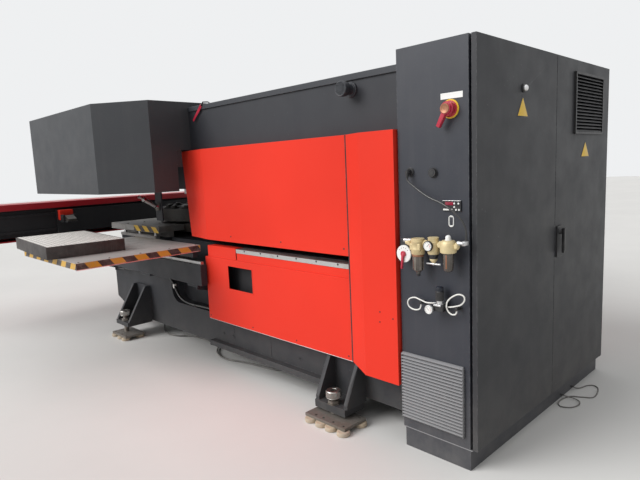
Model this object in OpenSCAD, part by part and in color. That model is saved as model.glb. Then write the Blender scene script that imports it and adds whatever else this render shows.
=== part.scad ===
// Turret punch press: frame, turrets, ram, tables, carriage, covers and electrical cabinet.
// X runs across the machine, Y from the operator's front (-) to the cabinet doors (+), Z up.
// Places along the machine are given as d, the distance in front of the closed cabinet doors.

/* [Frame] */
// Width across the two side plates
frame_w = 1646; // [1580:2:1680]
// Thickness of a side plate
plate_t = 70; // [50:1:90]
// Clearance from the floor to the frame
floor_gap = 136; // [120:1:145]
// Length of the frame from the cabinet to the end of the lower arm
frame_len = 4117; // [4060:1:4200]
// Height of the top of the frame
frame_top = 2194; // [2150:1:2240]
// Height of the deck under the centre table
deck_top = 1010; // [995:1:1020]
// Height of the underside of the upper arm
throat_top = 1500; // [1480:1:1540]
// Height of the side plate beside the lower arm
arm_side_h = 650; // [600:1:660]
// Thickness of the deck and cross plates
web_t = 40; // [30:1:50]

/* [Covers] */
// Stand-off of the red side panels from the frame
panel_standoff = 82; // [60:1:90]
// Sheet thickness of the panels
sheet_t = 4; // [3:1:6]
// Height of the sheet slot between the upper and lower panels
slot_h = 50; // [40:1:60]
// Height of the slot's lower edge
slot_z = 1033; // [1025:1:1040]
// Top of the red panels
panel_top = 1832; // [1780:1:1900]
// Bottom of the lower red panel
panel_bottom = 398; // [380:1:420]
// Width of the hood over the turret
hood_w = 2982; // [2800:2:3100]
// Height of the hood's lower edge
hood_z = 1491; // [1480:1:1520]
// Height of the hood's top
hood_top = 2244; // [2236:1:2300]

/* [Cabinet] */
// Width of the electrical cabinet
cab_w = 1886; // [1850:2:1920]
// Depth of the cabinet with its doors
cab_depth = 470; // [440:1:520]
// Height of the cabinet
cab_h = 2250; // [2220:1:2300]
// Height of the plinth
plinth_h = 117; // [100:1:130]
// Thickness of a door
door_t = 27; // [24:1:32]

/* [Turret] */
// Radius of the turret discs
turret_r = 560; // [540:1:575]
// Radius of the ring of tool stations
pitch_r = 480; // [460:1:490]
// Height of the top of the lower turret
die_top = 1123; // [1115:1:1124]
// Gap between the turrets
turret_gap = 27; // [24:1:34]
// Thickness of the upper turret
upper_t = 130; // [110:1:150]
// Radius of a station bore
station_r = 44; // [40:0.5:48]
// Stroke of the ram
stroke = 34; // [30:1:36]

/* [Tables] */
// Height of the top of the side tables
side_table_top = 1030; // [1020:1:1040]
// Width of a side table
side_table_w = 1035; // [900:1:1100]
// Length of a side table
side_table_len = 1200; // [1100:1:1300]
// Thickness of the centre table
centre_table_t = 60; // [50:1:62]
// Height of the loose brush block
block_h = 100; // [80:1:120]

/* [Carriage] */
// Length of the beam across the front
beam_len = 5000; // [4600:10:5400]
// Height of the beam cover
beam_h = 417; // [400:1:440]
// Depth of the beam cover
beam_depth = 400; // [380:1:440]
// Height of the rail beams under the side tables
rail_beam_h = 180; // [150:1:190]

/* [Hidden] */
$fn = 48;

red = "#f2452f";
dark = "#3d4045";
steel = "#b9bcc0";
black = "#1b1c1f";

// Stations along the machine, measured in front of the door faces
column_d = 2560;
throat_d = 2700;
hood_rear_d = 2791;
hood_corner_d = 3211;
hood_front_d = 4812;
// The turret keeps its place between the throat and the front of the hood
turret_room = 225.2;
turret_d = throat_d + turret_room + 0.4 * (hood_front_d - throat_d);
beam_rear_d = 5440;
slot_rear_d = 900;
arm_front_d = cab_depth + frame_len;
beam_front_d = beam_rear_d + beam_depth;
handle_proj = 46;
door_y = (beam_front_d - handle_proj) / 2;

// Half widths
frame_x = frame_w / 2;
plate_x = frame_x - plate_t;
panel_x = frame_x + panel_standoff;
cab_x = cab_w / 2;
hood_x = hood_w / 2;
slack = 0.3;
run_fit = 0.05;

// Sizes shared by parts that meet
inner_x = 690;
lid_top = frame_top + 4;
pad_top = 48;
pad_z = 28;
bolt_r = 24;
// Rear and front foot: place, base from and to, outer face, bolt, underside of the bolt's head
feet = [[1005, 62, 112, 1020, 985, 155], [3926, 120, 162, 1090, 1050, 220]];
// Top corner of the gussets as [x, z], and the first straight part of their outer edge
gusset_tops = [[882, 394], [880, 505]];
gusset_steps = [26, 8];
// Floor pads as [x0, x1, d0, d1], and the rubber discs under each as [x, d]
pads = [[910, 1110, 797, 1150], [950, 1150, 3742, 4046]];
discs = [[[1100, 818], [1100, 921], [1100, 1008], [1100, 1103], [942, 818], [942, 1103]],
    [[1128, 3785], [1128, 3880], [1128, 4008], [980, 3785], [980, 4008]]];
panel_rear_d = 892;
lower_panel_front = 2556;
lower_panel_top = 938;
pilaster_x = 968.5;
notch_fillet = 130;
notch_front = 3330;
notch_z = 412;
seat_z = 690;
seat_t = 20;
rail_x = 948;
rail_beam_w = 60;
seat_end = rail_x + rail_beam_w / 2;
rail_beam_rear = 2530;
rail_beam_front = 5150;
rail_w = 28;
rail_h = 25;
rail_z = seat_z + rail_beam_h;
arm_z = 925;
table_inner_x = 915;
table_outer_x = table_inner_x + side_table_w;
table_rear_d = 2610;
shaft_r = 60;
housing_r = 130;
upper_z = die_top + turret_gap;
upper_top = upper_z + upper_t;
lower_z = die_top - 80;
stations = 16;
ram_d = turret_d + pitch_r;
arm_top_d = ram_d + 250;
slide_d = beam_rear_d - 15;
ram_r = 60;
guide_r = 110;
holder_flange_z = upper_top + 12;
punch_r = 25;
punch_head_z = 1327;
ram_z = 1346;
cover_top = 1367;
cover_z = cover_top - beam_h - 10;
carrier_z0 = 1000;
carrier_z1 = 1270;
rail_rows = [1040, 1230];
clamp_x = 1032;
jaw_pivot_d = slide_d - 135;
jaw_pivot_z = 1185;
jaw_pin_r = 12;
door_pin_d = 14;
door_pin_x = 921;
door_z0 = 122;
hinge_r = 6;
shell_d = 38;
handle_x = -80;
handle_pivot_z = 1180;
switch_d = 138;
switch_z = 1905;
valve_d = 410;
valve_z = 1155;
regulator_d = 207;
fine_d = 186;
fine_z = 977;
guard_axis = [872, 1333];
guard_angle = 32;
guard_d = 3400;

// Cord routes as [x, d, z]; each starts and ends square on the face it meets
flank_x = cab_x + 30;
hose_x = cab_x + 30;
flank_route = [[flank_x, 390, 1568], [flank_x, 390, 1556], [flank_x, 372, 1538], [flank_x, 329, 1508],
    [flank_x + 4, 274, 1476], [flank_x + 8, 223, 1454], [flank_x + 12, 180, 1440],
    [flank_x + 14, 136, 1417], [flank_x + 12, 95, 1388], [flank_x + 8, 59, 1353],
    [flank_x + 4, 40, 1313], [flank_x + 2, 36, 1285], [flank_x, 38, 1266], [flank_x, 38, 1254]];
left_route = [[hose_x, 224, 900], [hose_x, 240, 900], [hose_x, 280, 897], [hose_x, 321, 907],
    [hose_x, 356, 914], [hose_x, 390, 902], [hose_x, 403, 879], [hose_x, 391, 855],
    [hose_x, 358, 845], [hose_x, 328, 852], [hose_x, 316, 870], [hose_x, 316, 886]];
right_route = [[hose_x, 157, 893], [hose_x, 141, 893], [hose_x, 108, 901], [hose_x, 70, 916],
    [hose_x, 49, 943], [hose_x + 3, 54, 966], [hose_x + 7, 84, 970], [hose_x + 10, 122, 948],
    [hose_x + 10, 146, 918], [hose_x + 10, 146, 884], [hose_x + 10, 124, 862],
    [hose_x + 10, 100, 862], [hose_x + 10, 90, 874], [hose_x + 10, 90, 886]];
side_floor_route = [[670, 3840, floor_gap], [670, 3840, 112], [674, 3832, 50], [690, 3805, 18],
    [725, 3745, 12], [757, 3640, 12], [757, 3540, 12], [730, 3440, 12], [672, 3370, 12],
    [640, 3270, 12], [622, 3113, 12], [645, 2870, 12], [700, 2790, 12], [765, 2700, 12],
    [808, 2570, 12], [800, 2440, 12], [760, 2320, 12], [735, 2200, 12], [700, 1990, 12],
    [680, 1930, 22], [670, 1905, 60], [670, 1900, 112], [670, 1900, floor_gap]];
cabinet_floor_route = [[-442, 38, 22], [-442, 26, 22], [-456, 8, 12], [-500, -12, 5], [-560, -30, 5],
    [-592, -62, 5], [-570, -98, 5], [-500, -123, 5], [-389, -131, 5], [-345, -70, 5], [-310, -12, 5],
    [-240, 14, 5], [-160, 12, 5], [-115, -20, 5], [-142, -77, 5], [-210, -100, 5], [-262, -84, 8],
    [-272, -40, 14], [-268, 4, 16], [-262, 26, 22], [-262, 38, 22]];
arm_route = [[836, 4500, 622], [836, 4460, 622], [836, 4400, 624], [836, 4320, 630], [836, 4220, 637],
    [836, 4071, 643], [836, 3843, 647], [836, 3600, 651], [836, 3440, 655], [836, 3385, 654],
    [836, 3335, 643], [836, 3290, 615], [836, 3253, 575], [836, 3218, 530], [836, 3175, 487],
    [836, 3120, 460], [836, 3061, 447], [836, 2991, 440], [836, 2869, 441], [836, 2735, 447],
    [836, 2600, 447], [836, lower_panel_front, 447]];

// A prism across the machine from x0 to x1, its outline given in (d, z)
module across(x0, x1)
    translate([x1, door_y, 0])
        rotate([90, 0, -90])
            linear_extrude(x1 - x0)
                children();

// A prism standing from z0 to z1, its outline given in (x, d)
module standing(z0, z1)
    translate([0, door_y, z0])
        mirror([0, 1, 0])
            linear_extrude(z1 - z0)
                children();

// A prism along the machine from d0 to d1, its outline given in (x, z)
module along(d0, d1)
    translate([0, door_y - d0, 0])
        rotate([90, 0, 0])
            linear_extrude(d1 - d0)
                children();

module block(x0, x1, d0, d1, z0, z1)
    translate([x0, door_y - d1, z0])
        cube([x1 - x0, d1 - d0, z1 - z0]);

module rod_x(x0, x1, d, z, r)
    translate([x0, door_y - d, z])
        rotate([0, 90, 0])
            cylinder(h = x1 - x0, r = r);

module rod_y(x, d0, d1, z, r)
    translate([x, door_y - d0, z])
        rotate([90, 0, 0])
            cylinder(h = d1 - d0, r = r);

module rod_z(x, d, z0, z1, r)
    translate([x, door_y - d, z0])
        cylinder(h = z1 - z0, r = r);

module both_sides() {
    children();
    mirror([1, 0, 0])
        children();
}

// Helpers for the swept cords
function unit(v) = v / norm(v);

function route_tangent(p, i) = unit(p[min(i + 1, len(p) - 1)] - p[max(i - 1, 0)]);

function ring_points(p, i, n, r, sides) =
    let (t = route_tangent(p, i), a = unit(cross(n, t)), b = unit(cross(t, a)))
    [for (k = [0 : sides - 1]) p[i] + r * (cos(360 * k / sides) * a + sin(360 * k / sides) * b)];

function in_frame(route) = [for (p = route) [p[0], door_y - p[1], p[2]]];

// A flexible tube of radius r along a route that lies across the direction n
module cord(route, r, n, sides) {
    p = in_frame(route);
    rings = len(p);
    points = [for (i = [0 : rings - 1]) each ring_points(p, i, n, r, sides)];
    sides_faces = [for (i = [0 : rings - 2]) for (k = [0 : sides - 1])
        [i * sides + k, (i + 1) * sides + k, (i + 1) * sides + (k + 1) % sides,
            i * sides + (k + 1) % sides]];
    start_cap = [for (k = [0 : sides - 1]) k];
    end_cap = [for (k = [sides - 1 : -1 : 0]) (rings - 1) * sides + k];
    polyhedron(points = points, faces = concat([start_cap], sides_faces, [end_cap]), convexity = 10);
}

// Outline of a side plate of the frame, in (d, z)
module side_plate_outline() {
    fillet = 90;
    slot_top = slot_z + slot_h;
    difference() {
        polygon([[cab_depth, floor_gap], [arm_front_d - 400, floor_gap], [arm_front_d, 290],
            [arm_front_d, arm_side_h], [notch_front, arm_side_h], [notch_front, notch_z],
            [column_d, notch_z], [column_d, slot_z], [slot_rear_d, slot_z],
            [slot_rear_d, slot_top], [throat_d, slot_top], [throat_d, throat_top],
            [arm_top_d, throat_top], [arm_top_d, 1980], [arm_top_d - 200, frame_top],
            [cab_depth, frame_top]]);
        difference() {
            translate([notch_front - 1, arm_side_h - fillet])
                square(fillet + 1);
            translate([notch_front + fillet, arm_side_h - fillet])
                circle(r = fillet);
        }
    }
    notch_corner();
}

// Rounded inner corner of the notch in a side plate
module notch_corner()
    difference() {
        translate([notch_front - notch_fillet, notch_z])
            square(notch_fillet);
        translate([notch_front - notch_fillet, notch_z + notch_fillet])
            circle(r = notch_fillet);
    }

// Plate that closes the hollow side along the notch, in (d, z)
module notch_lining() {
    t = 25;
    polygon([[column_d, notch_z - t], [notch_front + t, notch_z - t], [notch_front + t, arm_side_h],
        [notch_front, arm_side_h], [notch_front, notch_z], [column_d, notch_z]]);
    notch_corner();
}

// Rear seat of a rail beam, on the inner web
module rear_rail_seat() {
    block(inner_x - 1, seat_end, 2600, 2760, seat_z - seat_t, seat_z);
    along(2620, 2640)
        polygon([[inner_x - 1, seat_z - 120], [inner_x - 1, seat_z - seat_t],
            [seat_end - 10, seat_z - seat_t], [seat_end - 10, seat_z - seat_t - 20]]);
}

// Front seats of a rail beam, on the side plate
module front_rail_seats()
    for (d = [3450, 4270]) {
        block(plate_x, seat_end, d, d + 200, seat_z - seat_t, seat_z);
        block(plate_x, frame_x, d, d + 200, arm_side_h - 1, seat_z);
    }

module frame_sides() color(dark)
    both_sides() {
        across(plate_x, frame_x)
            side_plate_outline();
        front_rail_seats();
        // Ledge along the foot of the side
        block(frame_x - 1, frame_x + 57, 1147, 2620, floor_gap, 180);
        // Lifting pin
        rod_x(frame_x - 1, frame_x + 55, 905, 2105, 30);
        rod_x(frame_x + 55, frame_x + 100, 905, 2105, 43);
        // Gland plate of the cable along the lower arm
        block(frame_x - 1, frame_x + 40, 4500, 4515, arm_side_h - 52, arm_side_h - 2);
    }

module frame_base() color(dark) {
    wing_z = arm_side_h - 20;
    difference() {
        union() {
            both_sides() {
                across(inner_x - web_t, inner_x)
                    polygon([[cab_depth + web_t, floor_gap], [arm_front_d - 400, floor_gap],
                        [arm_front_d - web_t, 275], [arm_front_d - web_t, deck_top - web_t],
                        [cab_depth + web_t, deck_top - web_t]]);
                across(inner_x - 1, plate_x)
                    notch_lining();
                rear_rail_seat();
            }
            block(-inner_x, inner_x, cab_depth + web_t, arm_front_d, deck_top - web_t, deck_top);
            block(-frame_x, frame_x, turret_d - 270, turret_d + 575, deck_top - web_t, deck_top);
            block(-inner_x, inner_x, arm_front_d - web_t, arm_front_d, 290, deck_top - web_t);
            block(-plate_x, plate_x, arm_front_d - web_t, arm_front_d - 10, 290, wing_z);
            for (d = [900, 1900, 2640])
                block(-plate_x, plate_x, d, d + web_t, floor_gap, 400);
            for (d = [3500, 4050])
                block(-plate_x, plate_x, d, d + web_t, floor_gap, 450);
        }
        rod_z(0, turret_d, deck_top - web_t - 1, deck_top + 1, housing_r + 1);
    }
}

module frame_head() color(dark) {
    slot_top = slot_z + slot_h;
    difference() {
        union() {
            block(-plate_x, plate_x, cab_depth, cab_depth + web_t, floor_gap, frame_top - web_t);
            block(-plate_x, plate_x, throat_d - web_t, throat_d, slot_top, throat_top);
            block(-plate_x, plate_x, throat_d - web_t, arm_top_d, throat_top, throat_top + 50);
            block(-plate_x, plate_x, cab_depth, arm_top_d - 200, frame_top - web_t, frame_top);
            block(-plate_x, plate_x, arm_top_d - 40, arm_top_d, throat_top + 50, 1980);
            across(-plate_x, plate_x)
                polygon([[arm_top_d - 201, frame_top], [arm_top_d - 201, frame_top - 10],
                    [arm_top_d - 200, frame_top - 10], [arm_top_d - 200, frame_top - 54],
                    [arm_top_d - 40, 1968], [arm_top_d, 1980], [arm_top_d - 200, frame_top]]);
        }
        rod_z(0, turret_d, throat_top - 1, throat_top + 51, housing_r + 1);
        rod_z(0, ram_d, throat_top - 1, throat_top + 51, guide_r + 1);
    }
}

module foot_brackets() color(dark) {
    half = 142;
    gusset_t = 30;
    both_sides()
        for (i = [0, 1]) {
            foot = feet[i];
            d = foot[0];
            outer = foot[3];
            top = gusset_tops[i];
            difference() {
                union() {
                    block(frame_x, outer, d - half + 14, d + half, foot[1], foot[2]);
                    for (side = [-half, half - gusset_t])
                        along(d + side, d + side + gusset_t)
                            polygon([[frame_x, foot[2] - 1], [outer - 10, foot[2] - 1],
                                [outer - 10, foot[2] + gusset_steps[i]], top, [frame_x, top[1]]]);
                    block(frame_x, frame_x + 20, d - half, d + half, foot[2] - 1, top[1]);
                }
                rod_z(foot[4], d, foot[1] - 1, foot[2] + 1, bolt_r + slack);
            }
        }
}

module jack_bolts() color(steel) {
    head_h = 48;
    both_sides()
        for (foot = feet)
            difference() {
                union() {
                    rod_z(foot[4], foot[0], pad_top, foot[5] + 1, bolt_r);
                    rod_z(foot[4], foot[0], foot[5], foot[5] + head_h, 50);
                }
                rod_z(foot[4], foot[0], foot[5] + 22, foot[5] + head_h + 1, 17);
            }
}

module floor_pads() color(dark) {
    both_sides()
        for (p = pads)
            difference() {
                block(p[0], p[1], p[2], p[3], pad_z, pad_top);
                for (place = [30, 118, 206, 274])
                    rod_z(p[1] - 25, p[2] + place, pad_z - 1, pad_top + 1, 9);
                rod_z(p[0] + 25, p[2] + 30, pad_z - 1, pad_top + 1, 9);
            }
}

module pad_discs() color(black) {
    both_sides()
        for (foot = discs)
            for (p = foot)
                rod_z(p[0], p[1], 0, pad_z, 42);
}

module top_lid() color(dark) {
    lid_x = frame_x + 12;
    lip = 38;
    block(-lid_x, lid_x, cab_depth, 2777, frame_top, lid_top);
    both_sides()
        block(lid_x - 4, lid_x, cab_depth, 2777, lid_top - lip, lid_top);
}

// Folded cover open towards the frame; outer and inner are outlines in (x, d)
module tray(outer, inner, z0, z1)
    difference() {
        standing(z0, z1)
            polygon(outer);
        standing(z0 + sheet_t, z1 - sheet_t)
            polygon(inner);
    }

module upper_panel() {
    t = sheet_t;
    x = panel_x + 2;
    low = slot_z + slot_h;
    front = 2975;
    low_front = 2849;
    difference() {
        tray([[frame_x, panel_rear_d], [x, panel_rear_d], [x, 2510], [x - 22, 2616], [frame_x, front]],
            [[frame_x - 1, panel_rear_d + t], [x - t, panel_rear_d + t], [x - t, 2510 - 1],
                [x - 22 - t, 2616 - 3], [frame_x - 1, front - 18]],
            low, panel_top);
        // The front edge leans forward towards the top
        across(frame_x - 1, x + 1)
            polygon([[low_front, low - 1], [low_front + 106, panel_top + 1], [front + 1, panel_top + 1],
                [front + 1, low - 1]]);
    }
}

module upper_panels() color(red)
    both_sides()
        upper_panel();

module lower_panel() {
    t = sheet_t;
    win = [1917, 2233, 696, 885];
    difference() {
        tray([[frame_x, panel_rear_d], [panel_x, panel_rear_d], [panel_x, lower_panel_front],
                [frame_x, lower_panel_front]],
            [[frame_x - 1, panel_rear_d + t], [panel_x - t, panel_rear_d + t],
                [panel_x - t, lower_panel_front - t], [frame_x - 1, lower_panel_front - t]],
            panel_bottom, lower_panel_top);
        block(panel_x - t - 1, panel_x + 1, win[0], win[1], win[2], win[3]);
    }
}

module lower_panels() color(red)
    both_sides()
        lower_panel();

module pilasters() color(red) {
    t = sheet_t;
    rear = cab_depth + 13;
    knee = 735;
    low = panel_bottom - 30;
    x = panel_x + 2;
    both_sides()
        difference() {
            standing(low, panel_top)
                polygon([[frame_x, rear], [pilaster_x, rear], [pilaster_x, knee], [x, panel_rear_d],
                    [frame_x, panel_rear_d]]);
            standing(low - 1, panel_top - t)
                polygon([[frame_x - 1, rear + t], [pilaster_x - t, rear + t],
                    [pilaster_x - t, knee - 1], [x - t, panel_rear_d - t],
                    [frame_x - 1, panel_rear_d - t]]);
            across(frame_x - 1, pilaster_x + 1)
                polygon([[knee, low], [panel_rear_d + 1, panel_bottom], [panel_rear_d + 1, low - 1],
                    [knee, low - 1]]);
        }
}

module slot_strips() color(red) {
    face = panel_x - 6;
    t = sheet_t;
    low_top = slot_z - 7;
    both_sides() {
        block(face - t, face, slot_rear_d, 2110, lower_panel_top, low_top);
        block(frame_x, face, slot_rear_d, 2110, low_top - t, low_top);
        block(face - t, face, 2122, 2520, lower_panel_top, slot_z);
        block(frame_x, face, 2122, 2520, slot_z - t, slot_z);
        block(frame_x, face, slot_rear_d, 2520, lower_panel_top, lower_panel_top + t);
    }
}

module slot_angles() color(steel) {
    face = panel_x - 6;
    low_top = slot_z - 7;
    both_sides()
        difference() {
            union() {
                block(frame_x, face + 4, slot_rear_d + 7, 2110, low_top, low_top + 4);
                block(face, face + 4, slot_rear_d + 7, 2110, low_top - 26, low_top + 4);
            }
            for (d = [1000 : 200 : 2000])
                rod_x(face - 1, face + 5, d, low_top - 11, 3);
        }
}

module hood() color(dark) {
    t = 6;
    rear_x = 1194;
    notch = frame_x + 143;
    difference() {
        standing(hood_z, hood_top)
            polygon([[-hood_x, hood_front_d], [-hood_x, hood_corner_d], [-rear_x, hood_rear_d],
                [rear_x, hood_rear_d], [hood_x, hood_corner_d], [hood_x, hood_front_d]]);
        standing(hood_z - 1, hood_top - t)
            polygon([[t - hood_x, hood_front_d - t], [t - hood_x, hood_corner_d + 2],
                [3 - rear_x, hood_rear_d + t], [rear_x - 3, hood_rear_d + t],
                [hood_x - t, hood_corner_d + 2], [hood_x - t, hood_front_d - t]]);
        block(-frame_x, frame_x, hood_rear_d - 1, hood_rear_d + t + 1, hood_z - 1, frame_top);
        both_sides()
            block(frame_x - 1, notch, hood_rear_d - 1, hood_rear_d + t + 1, hood_z - 1, panel_top + 6);
    }
    // Strip set back behind the upper part of the notch
    both_sides()
        block(panel_x + 10, notch + 20, hood_rear_d + t, hood_rear_d + t + 3, 1697, panel_top + 26);
    for (d = [3000, arm_top_d - 320])
        block(30 - plate_x, plate_x - 30, d, d + 60, frame_top, hood_top - t);
    // Flange along the lower edge
    both_sides()
        block(hood_x - 30, hood_x - t, hood_corner_d + 20, hood_front_d - t, hood_z, hood_z + t);
}

module centre_table() color(steel) {
    top_z = die_top + 2;
    plate_z = top_z - centre_table_t;
    rib_x = inner_x - 50;
    difference() {
        block(-frame_x, frame_x, turret_d - 240, arm_front_d, plate_z, top_z);
        rod_z(0, turret_d, plate_z - 1, top_z + 1, turret_r + 15);
    }
    both_sides()
        block(rib_x, inner_x, turret_d - 230, arm_front_d - 10, deck_top, plate_z);
    block(-rib_x, rib_x, arm_front_d - 50, arm_front_d - 10, deck_top, plate_z);
}

module at_station(i)
    translate([0, door_y - turret_d, 0])
        rotate([0, 0, i * 360 / stations])
            translate([0, -pitch_r, 0])
                children();

module lower_turret() color(steel) {
    difference() {
        union() {
            rod_z(0, turret_d, lower_z, die_top, turret_r);
            rod_z(0, turret_d, deck_top + 2, lower_z, housing_r);
            rod_z(0, turret_d, 702, deck_top + 2, shaft_r);
        }
        for (i = [0 : stations - 1])
            at_station(i) {
                translate([0, 0, lower_z - 1])
                    cylinder(h = 100, r = station_r - 10);
                translate([0, 0, lower_z + 20])
                    cylinder(h = 100, r = station_r);
            }
    }
}

module bearing_housings() color(dark) {
    difference() {
        union() {
            rod_z(0, turret_d, 700, deck_top, housing_r);
            rod_z(0, turret_d, deck_top - web_t - 40, deck_top - web_t, housing_r + 60);
        }
        rod_z(0, turret_d, 699, deck_top + 1, shaft_r + run_fit);
    }
    difference() {
        union() {
            rod_z(0, turret_d, throat_top, 1800, housing_r);
            rod_z(0, turret_d, throat_top + 50, throat_top + 90, housing_r + 60);
        }
        rod_z(0, turret_d, throat_top - 1, 1801, shaft_r + run_fit);
    }
}

module turret_gearmotors() color(dark) {
    for (z = [[520, 700], [1800, 1980]]) {
        block(-115, 115, turret_d - 115, turret_d + 115, z[0], z[1]);
        rod_y(0, turret_d - 340, turret_d - 115, (z[0] + z[1]) / 2, 72);
    }
}

module dies() color(steel) {
    for (i = [0 : stations - 1])
        at_station(i)
            translate([0, 0, lower_z + 20])
                difference() {
                    cylinder(h = die_top - lower_z - 20, r = station_r - slack);
                    translate([0, 0, -1])
                        cylinder(h = 100, r = 12);
                }
}

module upper_turret() color(steel) {
    difference() {
        union() {
            rod_z(0, turret_d, upper_z, upper_top, turret_r);
            rod_z(0, turret_d, upper_top, throat_top - 2, housing_r);
            rod_z(0, turret_d, throat_top - 2, 1798, shaft_r);
        }
        for (i = [0 : stations - 1])
            at_station(i)
                translate([0, 0, upper_z - 1])
                    cylinder(h = upper_t + 2, r = station_r);
    }
}

module tool_holders() color(steel) {
    for (i = [1 : stations - 1])
        at_station(i) {
            translate([0, 0, upper_z + 2])
                cylinder(h = upper_t - 2, r = station_r - slack);
            translate([0, 0, upper_top])
                cylinder(h = 12, r = station_r + 6);
            translate([0, 0, holder_flange_z])
                cylinder(h = 18, r = 30);
        }
    at_station(0)
        difference() {
            union() {
                translate([0, 0, upper_z + 2])
                    cylinder(h = upper_t - 2, r = station_r - slack);
                translate([0, 0, upper_top])
                    cylinder(h = 12, r = station_r + 6);
            }
            cylinder(h = 2000, r = punch_r + run_fit);
        }
}

module active_punch() color(steel) {
    rod_z(0, ram_d, upper_z + 9, punch_head_z, punch_r);
    rod_z(0, ram_d, upper_z + 4, upper_z + 9, 11);
    rod_z(0, ram_d, punch_head_z, ram_z - 1, 30);
}

module ram() color(steel) {
    rod_z(0, ram_d, ram_z, 1400, 30);
    rod_z(0, ram_d, 1400, 1860, ram_r);
    rod_z(0, ram_d, 1860, 1900, 90);
}

module ram_cylinder() color(dark)
    difference() {
        union() {
            rod_z(0, ram_d, throat_top - 20, 1800, guide_r);
            rod_z(0, ram_d, 1800, 2030, housing_r);
            block(-150, 150, ram_d - 150, ram_d + 150, throat_top + 50, throat_top + 90);
        }
        rod_z(0, ram_d, throat_top - 21, 1960, ram_r + run_fit);
        rod_z(0, ram_d, 1820, 1960, 90 + run_fit);
    }

// Places children on the axis of the guard cylinder, which runs along their own Z
module on_guard_axis()
    translate([guard_axis[0], door_y - guard_d, guard_axis[1]])
        rotate([0, 90 - guard_angle, 0])
            children();

module guard_cylinder() color(dark)
    difference() {
        union() {
            on_guard_axis()
                cylinder(h = 160, r = 22);
            block(frame_x + 17, frame_x + 33, guard_d - 60, guard_d + 60, 1200, throat_top + 70);
            block(frame_x, frame_x + 18, guard_d - 60, guard_d + 60, throat_top + 10, throat_top + 70);
            block(frame_x + 32, frame_x + 65, guard_d - 26, guard_d + 26, 1300, 1366);
        }
        on_guard_axis()
            translate([0, 0, 15])
                cylinder(h = 150, r = 10 + run_fit);
    }

module guard_rod() color(steel)
    on_guard_axis() {
        translate([0, 0, 45])
            cylinder(h = 151, r = 10);
        translate([0, 0, 195])
            cylinder(h = 12, r = 14);
    }

module rail_beams() color(dark) {
    x0 = rail_x - rail_beam_w / 2;
    x1 = rail_x + rail_beam_w / 2;
    both_sides() {
        difference() {
            block(x0, x1, rail_beam_rear, rail_beam_front, seat_z, rail_z);
            block(x0 - 1, x1 - 10, rail_beam_rear + 8, rail_beam_front - 8, seat_z + 12, rail_z - 12);
        }
    }
}

module guide_rails() color(steel)
    both_sides()
        block(rail_x - rail_w / 2, rail_x + rail_w / 2, rail_beam_rear + 15, rail_beam_front - 10,
            rail_z, rail_z + rail_h);

module carriage_arms() color(dark) {
    x0 = rail_x - 28;
    x1 = rail_x + 28;
    tongue_z = 956;
    both_sides() {
        block(x0, x1, table_rear_d + 30, beam_rear_d - 60, arm_z, 980);
        block(x0, x1, beam_rear_d - 61, beam_front_d - 60, tongue_z, 985);
        for (d = [3340, 4440])
            difference() {
                block(x0, x1, d, d + 120, rail_z + 7, arm_z);
                block(rail_x - rail_w / 2 - slack, rail_x + rail_w / 2 + slack, d - 1, d + 121,
                    rail_z - 1, rail_z + rail_h + slack);
            }
    }
}

module side_table() {
    top_t = 12;
    skirt = side_table_top - 980;
    end_d = table_rear_d + side_table_len;
    difference() {
        block(table_inner_x, table_outer_x, table_rear_d, end_d, 980, side_table_top);
        block(table_inner_x + 8, table_outer_x - 8, table_rear_d + 8, end_d - 8, 979,
            side_table_top - top_t);
        for (x = [1000 : 150 : 1300])
            for (d = [2700 : 150 : 3700])
                rod_z(x, d, side_table_top - top_t - 1, side_table_top + 1, 7);
    }
    for (x = [1250, 1600])
        block(x, x + 8, table_rear_d + 7, end_d - 7, 985, side_table_top - top_t + 1);
    block(table_inner_x + 7, rail_x + 28, table_rear_d + 30, end_d - 30, 980, 988);
}

module side_table_right() color(dark)
    side_table();

module side_table_left() color(dark)
    mirror([1, 0, 0])
        side_table();

module brush_block() color(steel) {
    half_x = 300;
    half_d = 520;
    translate([1690, door_y - 3475, side_table_top])
        rotate([0, 0, -4])
            difference() {
                translate([-half_x, -half_d, 0])
                    cube([2 * half_x, 2 * half_d, block_h]);
                translate([8 - half_x, 8 - half_d, block_h - 4])
                    cube([2 * half_x - 16, 2 * half_d - 16, 5]);
            }
}

module x_beam() color(dark) {
    half = beam_len / 2 - 10;
    difference() {
        block(-half, half, beam_rear_d + 60, beam_front_d - 60, 985, 1290);
        block(-half - 1, half + 1, beam_rear_d + 74, beam_front_d - 74, 999, 1276);
    }
    for (z = rail_rows)
        block(40 - half, half - 40, beam_rear_d + 42, beam_rear_d + 61, z - 10, z + 10);
    for (x = [-2300 : 1150 : 2300])
        block(x - 20, x + 20, beam_rear_d + 120, beam_front_d - 120, 1289, cover_top - sheet_t);
}

module beam_cover() color(red) {
    half = beam_len / 2;
    t = sheet_t;
    difference() {
        across(-half, half)
            polygon([[beam_rear_d, cover_z], [beam_front_d, cover_z], [beam_front_d, cover_top],
                [beam_rear_d, cover_top]]);
        across(t - half, half - t)
            polygon([[beam_rear_d + t, cover_z + t], [beam_front_d - t, cover_z + t],
                [beam_front_d - t, cover_top - t], [beam_rear_d + t, cover_top - t]]);
        block(t - half, half - t, beam_rear_d - 1, beam_rear_d + t + 1, cover_z + 15, cover_top - 70);
    }
}

module cross_slide() color(dark) {
    half = 1120;
    block(-half, half, slide_d, slide_d + 40, carrier_z0, carrier_z1);
    for (x = [-1050, -100, 850])
        for (z = rail_rows)
            difference() {
                block(x, x + 200, slide_d + 39, slide_d + 74, z - 26, z + 26);
                block(x - 1, x + 201, beam_rear_d + 42 - slack, slide_d + 75, z - 10 - slack,
                    z + 10 + slack);
            }
}

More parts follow.
